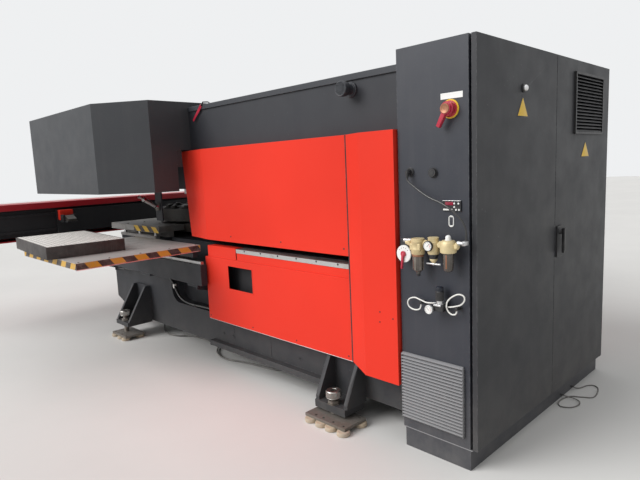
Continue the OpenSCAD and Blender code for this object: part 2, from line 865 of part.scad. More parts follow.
module clamps() color(dark) {
    for (x = [-clamp_x, clamp_x]) {
        block(x - 60, x + 60, slide_d - 253, slide_d - 163, die_top + 4, die_top + 16);
        block(x - 75, x + 75, slide_d - 165, slide_d, die_top + 4, die_top + 27);
        difference() {
            union() {
                block(x - 75, x - 50, slide_d - 165, slide_d - 80, die_top + 26, 1212);
                block(x + 50, x + 75, slide_d - 165, slide_d - 80, die_top + 26, 1212);
            }
            rod_x(x - 76, x + 76, jaw_pivot_d, jaw_pivot_z, jaw_pin_r + run_fit);
        }
        rod_y(x, slide_d - 72, slide_d, 1172, 16);
    }
}

module jaw(x) {
    across(x - 49.5, x + 49.5)
        polygon([[jaw_pivot_d - 115, 1141], [jaw_pivot_d - 40, 1141], [jaw_pivot_d - 28, 1162],
            [jaw_pivot_d + 30, 1172], [jaw_pivot_d + 30, 1205], [jaw_pivot_d - 20, 1205],
            [jaw_pivot_d - 115, 1165]]);
    rod_x(x - 78, x + 78, jaw_pivot_d, jaw_pivot_z, jaw_pin_r);
}

module jaw_1() color(steel)
    jaw(-clamp_x);

module jaw_2() color(steel)
    jaw(clamp_x);

module clamp_covers() color(red) {
    for (x = [-clamp_x, clamp_x])
        difference() {
            block(x - 75, x + 75, slide_d - 77, slide_d, die_top + 27, 1267);
            block(x - 71, x + 71, slide_d - 73, slide_d + 1, die_top + 26, 1263);
        }
}

module cabinet_shell() color(dark) {
    t = 3;
    rim = 60;
    difference() {
        union() {
            block(-cab_x, cab_x, shell_d, cab_depth, plinth_h, cab_h);
            block(rim - cab_x, cab_x - rim, door_t, shell_d + 1, plinth_h + 20, cab_h - 20);
            block(6 - cab_x, cab_x - 6, shell_d, cab_depth - 10, 0, plinth_h + 1);
        }
        block(rim + 20 - cab_x, cab_x - rim - 20, door_t - 1, shell_d + t + 1, plinth_h + 40,
            cab_h - 40);
        block(t - cab_x, cab_x - t, shell_d + t, cab_depth - t, plinth_h + t, cab_h - t);
        block(10 - cab_x, cab_x - 10, shell_d + 4, cab_depth - 14, -1, plinth_h - 4);
        block(cab_x - t - 1, cab_x + 1, 84, 452, 194, 561);
    }
    // Hinge rods of the doors on their lower brackets
    both_sides() {
        block(door_pin_x - 12, door_pin_x + 12, 2, shell_d + 1, plinth_h, door_z0);
        rod_z(door_pin_x, door_pin_d, plinth_h, cab_h, hinge_r - run_fit);
    }
}

module cabinet_equipment() color(steel) {
    plate_d = 440;
    back = cab_depth - 3;
    block(-850, 850, plate_d, plate_d + 4, 250, 2080);
    for (x = [-800, 800])
        for (z = [300, 2030])
            rod_y(x, plate_d + 3, back, z, 10);
    for (z = [560, 980, 1400, 1820])
        block(-800, 800, plate_d - 60, plate_d + 1, z, z + 60);
    for (x = [-760 : 100 : 740])
        block(x, x + 82, plate_d - 75, plate_d + 1, 1560, 1700);
    for (x = [-760 : 200 : 640])
        block(x, x + 150, plate_d - 200, plate_d + 1, 700, 920);
    for (x = [-700 : 260 : 600])
        block(x, x + 180, plate_d - 110, plate_d + 1, 1120, 1320);
}

// Frame of a louvre on the flank with its sloping blades
module flank_louvre() color(steel) {
    x = cab_x;
    out = 22;
    pitch = 18.5;
    difference() {
        block(x, x + out, 70, 466, 180, 575);
        block(x - 1, x + out + 1, 84, 452, 194, 561);
    }
    for (i = [0 : 19])
        along(83, 453)
            polygon([[x, 206 + i * pitch], [x + 3, 206 + i * pitch], [x + out, 196 + i * pitch],
                [x + out, 193.5 + i * pitch], [x + out - 3, 193.5 + i * pitch]]);
}

// Door shell with folded edges, from x0 to x1
module door(x0, x1)
    difference() {
        block(x0, x1, 0, door_t, door_z0, cab_h);
        block(x0 + 25, x1 - 25, 2, door_t + 1, door_z0 + 25, cab_h - 25);
        block(x0 + 2, x1 - 2, 2, door_t - 2, door_z0 + 2, cab_h - 2);
    }

module door_right() color(dark) {
    difference() {
        union() {
            door(-15, cab_x - 8);
            rod_y(432, -9, 1, 2023, 16);
            rod_z(door_pin_x, door_pin_d, door_z0, cab_h, hinge_r + 4);
        }
        rod_z(door_pin_x, door_pin_d, door_z0 - 1, cab_h + 1, hinge_r);
    }
}

module door_left() color(dark) {
    difference() {
        union() {
            door(8 - cab_x, -20);
            block(handle_x - 40, handle_x + 40, -8, 1, 1021, 1212);
            rod_z(-door_pin_x, door_pin_d, door_z0, cab_h, hinge_r + 4);
        }
        rod_z(-door_pin_x, door_pin_d, door_z0 - 1, cab_h + 1, hinge_r);
        block(-775, -303, -1, 3, 1802, 2162);
    }
}

module door_vent() color(black) {
    x0 = -790;
    x1 = -288;
    difference() {
        block(x0, x1, -14, 0, 1787, 2177);
        block(x0 + 15, x1 - 15, -15, 1, 1802, 2162);
    }
    for (i = [0 : 16])
        across(x0 + 14, x1 - 14)
            polygon([[-14, 1804 + i * 21], [-11, 1804 + i * 21], [0, 1818 + i * 21],
                [-3, 1818 + i * 21]]);
}

module door_handle() color(black) {
    rod_y(handle_x, -handle_proj + 4, -8, handle_pivot_z, 14);
    block(handle_x - 17, handle_x + 17, -handle_proj, -24, 1045, handle_pivot_z + 20);
}

module flank_fittings() color(black) {
    // Plug and its elbow
    rod_x(cab_x, flank_x, 390, 1597, 22);
    block(flank_x - 11, flank_x + 11, 379, 401, 1568, 1604);
    rod_x(cab_x, cab_x + 17, 245, 1591, 28);
    // Counter window, oval plate and blank name plate
    block(cab_x, cab_x + 8, 80, 188, 1393, 1447);
    for (z = [1328, 1355])
        rod_x(cab_x, cab_x + 3, 138, z, 16);
    block(cab_x, cab_x + 3, 122, 154, 1328, 1355);
    block(cab_x, cab_x + 2, 69, 195, 1955, 1985);
    // Wall fittings of the two hoses
    block(cab_x, hose_x + 9, 303, 329, 886, 896);
    block(cab_x, hose_x + 19, 78, 102, 886, 894);
}

module switch_base() color("#f2c419") {
    rod_x(cab_x, cab_x + 6, switch_d, switch_z, 48);
    rod_x(cab_x + 5, cab_x + 22, switch_d, switch_z, 24);
}

module switch_handle() color(red) {
    x = cab_x + 22;
    rod_x(x, x + 20, switch_d, switch_z, 34);
    translate([x, door_y - switch_d, switch_z])
        rotate([-29, 0, 0])
            translate([0, -13, -97])
                cube([34, 26, 130]);
}

module air_unit() color(steel) {
    x = cab_x + 65;
    // Filter, regulator and lubricator on one line
    rod_z(x, 303, 1165, 1250, 38);
    rod_z(x, 303, 1069, 1166, 28);
    rod_z(x, regulator_d, 1150, 1262, 32);
    rod_z(x, 119, 1186, 1251, 42);
    rod_z(x, 119, 1088, 1187, 26);
    rod_z(x, 119, 1250, 1278, 17);
    rod_y(x, 58, 400, 1224, 14);
    // Gauge
    rod_x(x + 30, x + 46, 213, 1220, 27);
    rod_x(x, x + 31, 213, 1220, 8);
    // Shut-off valve
    rod_x(cab_x + 10, x, 400, 1224, 14);
    block(cab_x, cab_x + 42, 382, 438, 1125, 1240);
    rod_x(cab_x + 41, cab_x + 50, valve_d, valve_z, 48);
    // Wall brackets and the pressure switch
    block(cab_x, x, 196, 218, 1205, 1235);
    block(cab_x, x, 292, 314, 1205, 1235);
    block(cab_x + 12, x + 14, 28, 59, 1208, 1254);
}

module valve_lever() color(red) {
    x = cab_x + 50;
    rod_x(x, x + 10, valve_d, valve_z, 16);
    translate([x, door_y - valve_d, valve_z])
        rotate([-7, 0, 0])
            translate([0, -8, -84])
                cube([9, 16, 84]);
}

module regulator_screw() color(steel) {
    x = cab_x + 65;
    rod_z(x, regulator_d, 1121, 1150, 7);
    rod_y(x, regulator_d - 43, regulator_d + 43, 1121, 5);
}

module fine_regulator() color(steel) {
    x = cab_x + 45;
    block(cab_x, x + 22, 157, 224, 869, 905);
    rod_z(x, fine_d, 904, 926, 17);
    rod_z(x, fine_d, 925, fine_z, 22);
    rod_x(x + 20, x + 40, 233, 876, 25);
    rod_x(x, x + 21, 218, 887, 5);
}

module fine_regulator_knob() color("#2c5fa8")
    rod_z(cab_x + 45, fine_d, fine_z, fine_z + 24, 21);

module flank_cable() color(black)
    cord(flank_route, 5, [1, 0, 0], 8);

module hose_left() color("white")
    cord(left_route, 4, [1, 0, 0], 8);

module hose_right() color("white")
    cord(right_route, 4, [1, 0, 0], 8);

module side_floor_cable() color(black)
    cord(side_floor_route, 7, [1, 0, 0], 8);

module cabinet_floor_cable() color(black)
    cord(cabinet_floor_route, 4, [0, 0, 1], 8);

module arm_cable() color(black)
    cord(arm_route, 11, [1, 0, 0], 8);

frame_sides();
frame_base();
frame_head();
foot_brackets();
jack_bolts();
floor_pads();
pad_discs();
top_lid();
upper_panels();
lower_panels();
pilasters();
slot_strips();
slot_angles();
hood();
centre_table();
lower_turret();
bearing_housings();
turret_gearmotors();
dies();
upper_turret();
tool_holders();
active_punch();
ram();
ram_cylinder();
guard_cylinder();
guard_rod();
rail_beams();
guide_rails();
carriage_arms();
side_table_right();
side_table_left();
brush_block();
x_beam();
beam_cover();
cross_slide();
clamps();
jaw_1();
jaw_2();
clamp_covers();
cabinet_shell();
cabinet_equipment();
flank_louvre();
door_right();
door_left();
door_vent();
door_handle();
flank_fittings();
switch_base();
switch_handle();
air_unit();
valve_lever();
regulator_screw();
fine_regulator();
fine_regulator_knob();
flank_cable();
hose_left();
hose_right();
side_floor_cable();
cabinet_floor_cable();
arm_cable();
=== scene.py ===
"""Looks of a CNC turret punch press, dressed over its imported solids."""

import logging
import math
from dataclasses import dataclass
from enum import Enum
from typing import Callable, Optional, Sequence

import bmesh
import bpy
from mathutils import Matrix, Vector


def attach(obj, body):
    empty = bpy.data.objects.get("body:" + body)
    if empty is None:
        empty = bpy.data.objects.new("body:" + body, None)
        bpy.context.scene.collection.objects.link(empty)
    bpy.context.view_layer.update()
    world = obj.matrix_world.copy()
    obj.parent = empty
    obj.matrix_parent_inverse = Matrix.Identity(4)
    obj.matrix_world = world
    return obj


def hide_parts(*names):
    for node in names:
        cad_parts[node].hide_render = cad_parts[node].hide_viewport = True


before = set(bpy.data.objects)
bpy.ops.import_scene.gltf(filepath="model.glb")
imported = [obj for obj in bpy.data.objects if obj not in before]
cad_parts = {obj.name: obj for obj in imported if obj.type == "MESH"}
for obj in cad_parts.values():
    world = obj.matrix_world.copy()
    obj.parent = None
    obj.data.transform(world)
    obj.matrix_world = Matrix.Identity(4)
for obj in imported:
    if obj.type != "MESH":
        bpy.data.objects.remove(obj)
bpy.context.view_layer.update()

log = logging.getLogger("press")

Color = tuple[float, float, float]
Point = tuple[float, float, float]
Socket = bpy.types.NodeSocket
Node = bpy.types.Node
Tree = bpy.types.NodeTree
Material = bpy.types.Material

# Place of the closed doors' faces along Y in metres, and a millimetre in metres
DOOR_Y = 2.897
MM = 0.001

# Places across the machine in millimetres: cabinet flank, hoses on it, frame side
FLANK = 943.0
HOSE_X = 973.0
FRAME_SIDE = 823.0


def at(x: float, d: float, z: float) -> Vector:
    """Turns a place on the machine into the frame's metres.

    Args:
        x: Place across the machine in millimetres, from the centre line.
        d: Distance from the closed doors' faces towards the machine's front, in millimetres.
        z: Height above the floor in millimetres.

    Returns:
        The same place in the part's frame, in metres.
    """
    return Vector((x * MM, DOOR_Y - d * MM, z * MM))


class Axis(Enum):
    """The axis that a row of stripes runs along."""

    X = 0
    Y = 1


# Shader graph


class Graph:
    """A small builder for one shader node tree."""

    def __init__(self, tree: Tree) -> None:
        """Keeps the tree that is built."""
        self.tree = tree

    def node(self, kind: str, **settings: object) -> Node:
        """Adds a node and sets its properties."""
        made = self.tree.nodes.new(kind)
        for name, value in settings.items():
            setattr(made, name, value)
        return made

    def feed(self, value: object, target: Socket) -> None:
        """Links a socket, or sets a constant, on a target socket."""
        if isinstance(value, Socket):
            self.tree.links.new(value, target)
        elif isinstance(value, tuple) and len(value) == 3 and target.type == "RGBA":
            target.default_value = (*value, 1.0)
        else:
            target.default_value = value

    def math(self, operation: str, a: object, b: object = 0.0) -> Socket:
        """Adds a math node and returns its value."""
        made = self.node("ShaderNodeMath", operation=operation)
        self.feed(a, made.inputs[0])
        self.feed(b, made.inputs[1])
        return made.outputs[0]

    def times(self, a: object, b: object) -> Socket:
        """Multiplies two values."""
        return self.math("MULTIPLY", a, b)

    def plus(self, a: object, b: object) -> Socket:
        """Adds two values."""
        return self.math("ADD", a, b)

    def between(self, value: Socket, low: float, high: float) -> Socket:
        """Returns 1 where a value lies between two limits, and 0 elsewhere."""
        return self.times(self.math("GREATER_THAN", value, low), self.math("LESS_THAN", value, high))

    def scaled(self, vector: object, factor: object) -> Socket:
        """Scales a vector or colour evenly."""
        made = self.node("ShaderNodeVectorMath", operation="SCALE")
        self.feed(vector, made.inputs[0])
        self.feed(factor, made.inputs[3])
        return made.outputs[0]

    def parts(self, vector: Socket) -> Sequence[Socket]:
        """Splits a vector into its three values."""
        made = self.node("ShaderNodeSeparateXYZ")
        self.feed(vector, made.inputs[0])
        return made.outputs

    def span(self, value: Socket, low: float, high: float, start: float = 0.0, end: float = 1.0) -> Socket:
        """Maps a value from low..high to start..end, clamped."""
        made = self.node("ShaderNodeMapRange")
        for place, number in enumerate((low, high, start, end), start=1):
            made.inputs[place].default_value = number
        self.feed(value, made.inputs[0])
        return made.outputs[0]

    def mix(self, factor: object, a: object, b: object) -> Socket:
        """Mixes two colours and returns the result."""
        made = self.node("ShaderNodeMix", data_type="RGBA")
        self.feed(factor, made.inputs[0])
        self.feed(a, made.inputs[6])
        self.feed(b, made.inputs[7])
        return made.outputs[2]

    def noise(self, vector: Socket, scale: object, detail: float = 3.0, rough: float = 0.55) -> Socket:
        """Adds a noise texture and returns its factor."""
        made = self.node("ShaderNodeTexNoise")
        self.feed(vector, made.inputs["Vector"])
        self.feed(scale, made.inputs["Scale"])
        made.inputs["Detail"].default_value = detail
        made.inputs["Roughness"].default_value = rough
        return made.outputs[0]

    def stretch(self, vector: Socket, scale: Point) -> Socket:
        """Scales a vector along each axis."""
        made = self.node("ShaderNodeMapping")
        self.feed(vector, made.inputs["Vector"])
        made.inputs["Scale"].default_value = scale
        return made.outputs[0]

    def place(self) -> Socket:
        """Returns the piece's object coordinates."""
        return self.node("ShaderNodeTexCoord").outputs["Object"]


def new_group(name: str, inputs: Sequence[tuple[str, str, object]],
              outputs: Sequence[tuple[str, str]]) -> tuple[Tree, Graph, Node, Node]:
    """Makes an empty shader group with named sockets.

    Args:
        name: The group's name.
        inputs: Name, socket kind and default of each input.
        outputs: Name and socket kind of each output.

    Returns:
        The group, its builder, its input node and its output node.
    """
    tree = bpy.data.node_groups.new(name, "ShaderNodeTree")
    for label, kind, default in inputs:
        socket = tree.interface.new_socket(name=label, in_out="INPUT", socket_type=kind)
        socket.default_value = (*default, 1.0) if isinstance(default, tuple) else default
    for label, kind in outputs:
        tree.interface.new_socket(name=label, in_out="OUTPUT", socket_type=kind)
    graph = Graph(tree)
    return tree, graph, graph.node("NodeGroupInput"), graph.node("NodeGroupOutput")


FLOAT, COLOR = "NodeSocketFloat", "NodeSocketColor"

# Height in metres below which dust from the floor settles
SPLASH_TOP = 0.55

# Width in metres of the band along an edge where paint rubs off
RUBBED_EDGE = 0.004


def make_grime() -> Tree:
    """Builds the group of dust, smears and run-down streaks on a surface."""
    tree, g, given, out = new_group("press_grime",
                                    [("Base", COLOR, (0.1, 0.1, 0.1)), ("Dust", COLOR, (0.4, 0.38, 0.35)),
                                     ("Amount", FLOAT, 0.3), ("Scale", FLOAT, 1.0), ("Rough", FLOAT, 0.4),
                                     ("Floor", FLOAT, 0.5)], [("Color", COLOR), ("Roughness", FLOAT)])
    where = g.place()
    scaled = g.scaled(where, given.outputs["Scale"])
    cloud = g.span(g.noise(scaled, 2.3, 6.0, 0.62), 0.42, 0.74)
    speck = g.span(g.noise(scaled, 95.0, 2.0), 0.58, 0.72)
    streak = g.span(g.noise(g.stretch(scaled, (26.0, 26.0, 1.1)), 1.0, 4.0), 0.52, 0.78)
    low = g.times(g.span(g.parts(where)[2], SPLASH_TOP, 0.0), given.outputs["Floor"])
    low = g.times(low, g.span(g.noise(where, 9.0, 5.0, 0.7), 0.3, 0.7, 0.3, 1.0))
    part = g.times(g.plus(cloud, g.times(streak, 0.6)), 0.55)
    part = g.plus(part, g.times(speck, 0.25))
    mask = g.times(part, given.outputs["Amount"])
    mask = g.math("MINIMUM", g.plus(mask, low), 0.9)
    shade = g.span(g.noise(scaled, 0.9, 2.0), 0.3, 0.7, 0.93, 1.06)
    base = g.scaled(given.outputs["Base"], shade)
    g.feed(g.mix(mask, base, given.outputs["Dust"]), out.inputs["Color"])
    rough = g.plus(given.outputs["Rough"], g.times(mask, 0.45))
    rough = g.plus(rough, g.span(g.noise(scaled, 7.0, 4.0), 0.3, 0.7, -0.05, 0.07))
    g.feed(g.math("MINIMUM", rough, 0.95), out.inputs["Roughness"])
    return tree


def make_peel() -> Tree:
    """Builds the group of a sprayed paint's fine relief."""
    tree, g, given, out = new_group("press_peel", [("Scale", FLOAT, 400.0)], [("Height", FLOAT)])
    where = g.place()
    fine = g.noise(where, given.outputs["Scale"], 2.0)
    wave = g.noise(where, 2.2, 2.0)
    g.feed(g.plus(g.times(fine, 0.35), wave), out.inputs["Height"])
    return tree


def make_wear() -> Tree:
    """Builds the group of chips and rubbed edges, which show what lies under a coat."""
    tree, g, given, out = new_group("press_wear",
                                    [("Coat", COLOR, (0.5, 0.1, 0.1)), ("Under", COLOR, (0.3, 0.3, 0.3)),
                                     ("Edge", FLOAT, 0.5), ("Chips", FLOAT, 0.3)], [("Color", COLOR)])
    where = g.place()
    soft = g.node("ShaderNodeBevel", samples=4)
    g.feed(RUBBED_EDGE, soft.inputs["Radius"])
    sharp = g.node("ShaderNodeNewGeometry")
    dot = g.node("ShaderNodeVectorMath", operation="DOT_PRODUCT")
    g.feed(soft.outputs[0], dot.inputs[0])
    g.feed(sharp.outputs["Normal"], dot.inputs[1])
    edge = g.span(dot.outputs["Value"], 0.995, 0.86)
    ragged = g.span(g.noise(where, 38.0, 6.0, 0.7), 0.44, 0.6)
    edge = g.times(g.times(edge, ragged), given.outputs["Edge"])
    chip = g.span(g.noise(where, 55.0, 5.0, 0.72), 0.685, 0.71)
    region = g.span(g.noise(where, 1.7, 2.0), 0.48, 0.62)
    chip = g.times(g.times(chip, region), given.outputs["Chips"])
    mask = g.math("MINIMUM", g.plus(edge, chip), 1.0)
    g.feed(g.mix(mask, given.outputs["Coat"], given.outputs["Under"]), out.inputs["Color"])
    return tree


def make_brushed() -> Tree:
    """Builds the group of tool marks and stains on bare metal."""
    tree, g, given, out = new_group("press_brushed",
                                    [("Metal", COLOR, (0.5, 0.5, 0.5)), ("Stain", COLOR, (0.2, 0.16, 0.12)),
                                     ("Stained", FLOAT, 0.4), ("Rough", FLOAT, 0.35)],
                                    [("Color", COLOR), ("Roughness", FLOAT), ("Height", FLOAT)])
    where = g.place()
    marks = g.noise(g.stretch(where, (14.0, 900.0, 900.0)), 1.0, 2.0)
    stain = g.span(g.noise(where, 6.0, 6.0, 0.68), 0.48, 0.72)
    stain = g.times(stain, given.outputs["Stained"])
    g.feed(g.mix(stain, given.outputs["Metal"], given.outputs["Stain"]), out.inputs["Color"])
    rough = g.plus(given.outputs["Rough"], g.times(stain, 0.4))
    rough = g.plus(rough, g.span(marks, 0.3, 0.7, -0.08, 0.08))
    g.feed(rough, out.inputs["Roughness"])
    g.feed(marks, out.inputs["Height"])
    return tree


GROUPS: dict[str, Tree] = {}
MAKERS = {"grime": make_grime, "peel": make_peel, "wear": make_wear, "brushed": make_brushed}


def use_group(g: Graph, name: str, **values: object) -> Node:
    """Places a shared group in a material with its own values.

    Args:
        g: The builder of the material.
        name: The group's name, one of grime, peel, wear or brushed.
        **values: Values or sockets for the group's inputs, by name.

    Returns:
        The group's node in the material.
    """
    if name not in GROUPS:
        GROUPS[name] = MAKERS[name]()
    made = g.node("ShaderNodeGroup", node_tree=GROUPS[name])
    for label, value in values.items():
        g.feed(value, made.inputs[label])
    return made


def blank_material(name: str) -> tuple[Material, Graph, Node]:
    """Makes a material and returns it with its builder and its one shader."""
    material = bpy.data.materials.new(name)
    material.use_nodes = True
    return material, Graph(material.node_tree), material.node_tree.nodes["Principled BSDF"]


def relief(g: Graph, shader: Node, height: Socket, distance: float, strength: float) -> None:
    """Feeds a height to the shader's normal through one bump node."""
    bump = g.node("ShaderNodeBump")
    bump.inputs["Strength"].default_value = strength
    bump.inputs["Distance"].default_value = distance
    g.feed(height, bump.inputs["Height"])
    g.feed(bump.outputs[0], shader.inputs["Normal"])


def show(g: Graph, shader: Node, group: Node) -> None:
    """Feeds a group's colour and roughness to the shader."""
    g.feed(group.outputs["Color"], shader.inputs["Base Color"])
    g.feed(group.outputs["Roughness"], shader.inputs["Roughness"])


# Finishes


@dataclass(frozen=True)
class Finish:
    """What every finish has: a name and a way to build its material."""

    name: str
    slot: str

    def build(self) -> Material:
        """Builds the material of this finish."""
        raise NotImplementedError

    def material(self) -> Material:
        """Returns the material of this name, built where neither the frame nor a piece has it yet."""
        found = bpy.data.materials.get(self.name)
        return found if found is not None else self.build()


@dataclass(frozen=True)
class Paint(Finish):
    """A sprayed coat on sheet or cast metal, with dust, chips and worn edges."""

    color: Color
    rough: float = 0.42
    dust: Color = (0.30, 0.28, 0.26)
    amount: float = 0.16
    floor: float = 0.25
    under: Color = (0.30, 0.30, 0.31)
    edge: float = 0.5
    chips: float = 0.3
    peel: float = 420.0
    bump: float = 0.10
    specular: float = 0.35

    def build(self) -> Material:
        """Builds the painted material."""
        material, g, shader = blank_material(self.name)
        wear = use_group(g, "wear", Coat=self.color, Under=self.under, Edge=self.edge, Chips=self.chips)
        grime = use_group(g, "grime", Base=wear.outputs["Color"], Dust=self.dust, Amount=self.amount,
                          Rough=self.rough, Floor=self.floor)
        peel = use_group(g, "peel", Scale=self.peel)
        show(g, shader, grime)
        shader.inputs["Specular IOR Level"].default_value = self.specular
        relief(g, shader, peel.outputs["Height"], 0.0016, self.bump)
        return material


@dataclass(frozen=True)
class Metal(Finish):
    """Bare, plated or machined metal with tool marks and stains."""

    color: Color
    rough: float = 0.35
    metallic: float = 1.0
    stain: Color = (0.12, 0.09, 0.06)
    stained: float = 0.35

    def build(self) -> Material:
        """Builds the metal's material."""
        material, g, shader = blank_material(self.name)
        marks = use_group(g, "brushed", Metal=self.color, Stain=self.stain,
                          Stained=self.stained, Rough=self.rough)
        shader.inputs["Metallic"].default_value = self.metallic
        show(g, shader, marks)
        relief(g, shader, marks.outputs["Height"], 0.0004, 0.25)
        return material


@dataclass(frozen=True)
class Plastic(Finish):
    """Moulded plastic or rubber with a light haze of dust."""

    color: Color
    rough: float = 0.45
    amount: float = 0.12
    grain: float = 900.0
    coat: float = 0.0

    def build(self) -> Material:
        """Builds the plastic's material."""
        material, g, shader = blank_material(self.name)
        grime = use_group(g, "grime", Base=self.color, Amount=self.amount, Scale=4.0,
                          Rough=self.rough, Floor=0.1)
        peel = use_group(g, "peel", Scale=self.grain)
        show(g, shader, grime)
        shader.inputs["Coat Weight"].default_value = self.coat
        relief(g, shader, peel.outputs["Height"], 0.0003, 0.2)
        return material


@dataclass(frozen=True)
class Stripes(Finish):
    """Slanting warning stripes on tape, run along one axis and rising with Z."""

    axis: Axis
    pitch: float
    first: Color = (0.80, 0.52, 0.02)
    second: Color = (0.035, 0.02, 0.018)
    slant: float = 1.0
    phase: float = 0.0

    def build(self) -> Material:
        """Builds the striped material."""
        material, g, shader = blank_material(self.name)
        parts = g.parts(g.place())
        along = g.plus(parts[self.axis.value], g.times(parts[2], self.slant))
        turn = g.math("FRACT", g.plus(g.math("DIVIDE", along, self.pitch), self.phase))
        band = g.math("GREATER_THAN", turn, 0.5)
        color = g.mix(band, self.first, self.second)
        wear = use_group(g, "wear", Coat=color, Under=(0.25, 0.24, 0.22), Edge=0.5, Chips=0.9)
        grime = use_group(g, "grime", Base=wear.outputs["Color"], Amount=0.3, Rough=0.5,
                          Floor=0.0, Scale=3.0)
        show(g, shader, grime)
        peel = use_group(g, "peel", Scale=700.0)
        relief(g, shader, peel.outputs["Height"], 0.0004, 0.2)
        return material


@dataclass(frozen=True)
class Dial(Finish):
    """The white face of a round gauge with its ring of marks."""

    centre: Point
    radius: float

    def build(self) -> Material:
        """Builds the face from the distance and angle about its centre."""
        material, g, shader = blank_material(self.name)
        moved = g.node("ShaderNodeMapping")
        g.feed(g.place(), moved.inputs["Vector"])
        moved.inputs["Location"].default_value = tuple(-c for c in self.centre)
        parts = g.parts(moved.outputs[0])
        y, z = parts[1], parts[2]
        reach = g.math("SQRT", g.plus(g.times(y, y), g.times(z, z)))
        reach = g.math("DIVIDE", reach, self.radius)
        turn = g.math("DIVIDE", g.math("ARCTAN2", y, z), 2 * math.pi)
        dial = g.math("LESS_THAN", g.math("ABSOLUTE", turn), 0.375)
        fine = g.math("LESS_THAN", g.math("FRACT", g.plus(g.times(turn, 40.0), 0.15)), 0.3)
        coarse = g.math("LESS_THAN", g.math("FRACT", g.plus(g.times(turn, 8.0), 0.06)), 0.12)
        outer = g.between(reach, 0.74, 0.86)
        longer = g.between(reach, 0.6, 0.86)
        marks = g.times(g.math("MAXIMUM", g.times(fine, outer), g.times(coarse, longer)), dial)
        arc = g.times(g.between(turn, 0.12, 0.36), g.between(reach, 0.5, 0.58))
        color = g.mix(arc, (0.80, 0.80, 0.77), (0.60, 0.05, 0.04))
        color = g.mix(marks, color, (0.03, 0.03, 0.03))
        grime = use_group(g, "grime", Base=color, Amount=0.08, Rough=0.25, Floor=0.0, Scale=6.0)
        show(g, shader, grime)
        shader.inputs["Coat Weight"].default_value = 0.6
        return material


@dataclass(frozen=True)
class Tufts(Finish):
    """A field of pale bristle tufts in rows, with dark gaps between them."""

    pitch: float
    turn: float
    tuft: Color = (0.80, 0.77, 0.73)
    gap: Color = (0.20, 0.18, 0.16)

    def build(self) -> Material:
        """Builds the rows of tufts and their relief."""
        material, g, shader = blank_material(self.name)
        turned = g.node("ShaderNodeMapping")
        g.feed(g.place(), turned.inputs["Vector"])
        turned.inputs["Rotation"].default_value = (0.0, 0.0, self.turn)
        parts = g.parts(turned.outputs[0])
        bumps = []
        for axis in (0, 1):
            wave = g.math("FRACT", g.math("DIVIDE", parts[axis], self.pitch))
            away = g.math("ABSOLUTE", g.math("SUBTRACT", g.times(wave, 2.0), 1.0))
            bumps.append(g.math("SUBTRACT", 1.0, away))
        dome = g.math("MINIMUM", bumps[0], bumps[1])
        open_gap = g.span(dome, 0.06, 0.20)
        shade = g.span(g.noise(turned.outputs[0], 35.0, 4.0, 0.7), 0.3, 0.7, 0.86, 1.05)
        color = g.mix(open_gap, self.gap, g.scaled(self.tuft, shade))
        grime = use_group(g, "grime", Base=color, Amount=0.25, Rough=0.8, Floor=0.0, Scale=2.0)
        show(g, shader, grime)
        fuzz = g.plus(dome, g.times(g.noise(g.place(), 900.0, 2.0), 0.4))
        relief(g, shader, fuzz, 0.004, 0.5)
        return material


CHARCOAL = Paint("charcoal_paint", "dark_paint", (0.030, 0.033, 0.040), rough=0.46, amount=0.05)
FRAME_GREY = Paint("frame_paint", "dark_paint", (0.022, 0.0235, 0.029), rough=0.52, amount=0.05, floor=0.35,
                   dust=(0.16, 0.15, 0.135), chips=0.5)
# Near-black paint for the head and the parts inside the machine: a darker copy of the frame paint, as
# painted shade where they sit in shade under the hood and within the frame. Also for strips, discs and
# sheets that stand in as painted shade of gaps, grooves, holes and recesses
INNER_SHADE = Paint("inner_paint", "dark_paint", (0.010, 0.010, 0.012), rough=0.60, amount=0.12,
                   dust=(0.08, 0.075, 0.07))
CABINET_GREY = Paint("cabinet_paint", "dark_paint", (0.027, 0.030, 0.040), rough=0.42, amount=0.07,
                     peel=300.0, specular=0.4)
DOOR_GREY = Paint("door_paint", "dark_paint", (0.030, 0.031, 0.035), rough=0.44, amount=0.07, peel=300.0,
                  chips=0.8, specular=0.28)
HOOD_GREY = Paint("hood_paint", "dark_paint", (0.040, 0.043, 0.048), rough=0.50, amount=0.06, specular=0.3)
RED = Paint("cover_red", "red_paint", (0.74, 0.040, 0.022), rough=0.44, amount=0.03,
            dust=(0.46, 0.09, 0.06), under=(0.55, 0.20, 0.16), edge=0.35, chips=0.12,
            floor=0.04, specular=0.1)
BEAM_RED = Paint("beam_red_paint", "red_paint", (0.36, 0.012, 0.020), rough=0.40, amount=0.10,
                 dust=(0.20, 0.06, 0.06), under=(0.3, 0.1, 0.09), chips=0.2)
STEEL = Metal("machined_steel", "bare_steel", (0.50, 0.50, 0.50), rough=0.38)
BRIGHT_STEEL = Metal("bright_steel", "bare_steel", (0.40, 0.39, 0.37), rough=0.34, stained=0.6)
WORN_STEEL = Metal("worn_steel", "bare_steel", (0.22, 0.20, 0.18), rough=0.55, stained=0.7, metallic=0.6)
TABLE_STEEL = Metal("table_steel", "bare_steel", (0.52, 0.49, 0.47), rough=0.46, stained=0.4, metallic=0.5,
                    stain=(0.22, 0.19, 0.17))
DARK_STEEL = Metal("oxide_steel", "bare_steel", (0.040, 0.037, 0.034), rough=0.45, stained=0.5,
                   metallic=0.5, stain=(0.16, 0.13, 0.10))
SLAB_STEEL = Metal("scaled_steel", "bare_steel", (0.30, 0.29, 0.28), rough=0.5, stained=0.5, metallic=0.3)
ALUMINIUM = Metal("bare_aluminium", "aluminium", (0.74, 0.74, 0.74), rough=0.34, stained=0.12)
WORN_ALUMINIUM = Metal("worn_aluminium", "aluminium", (0.52, 0.52, 0.51), rough=0.42, stained=0.55,
                       stain=(0.20, 0.15, 0.11))
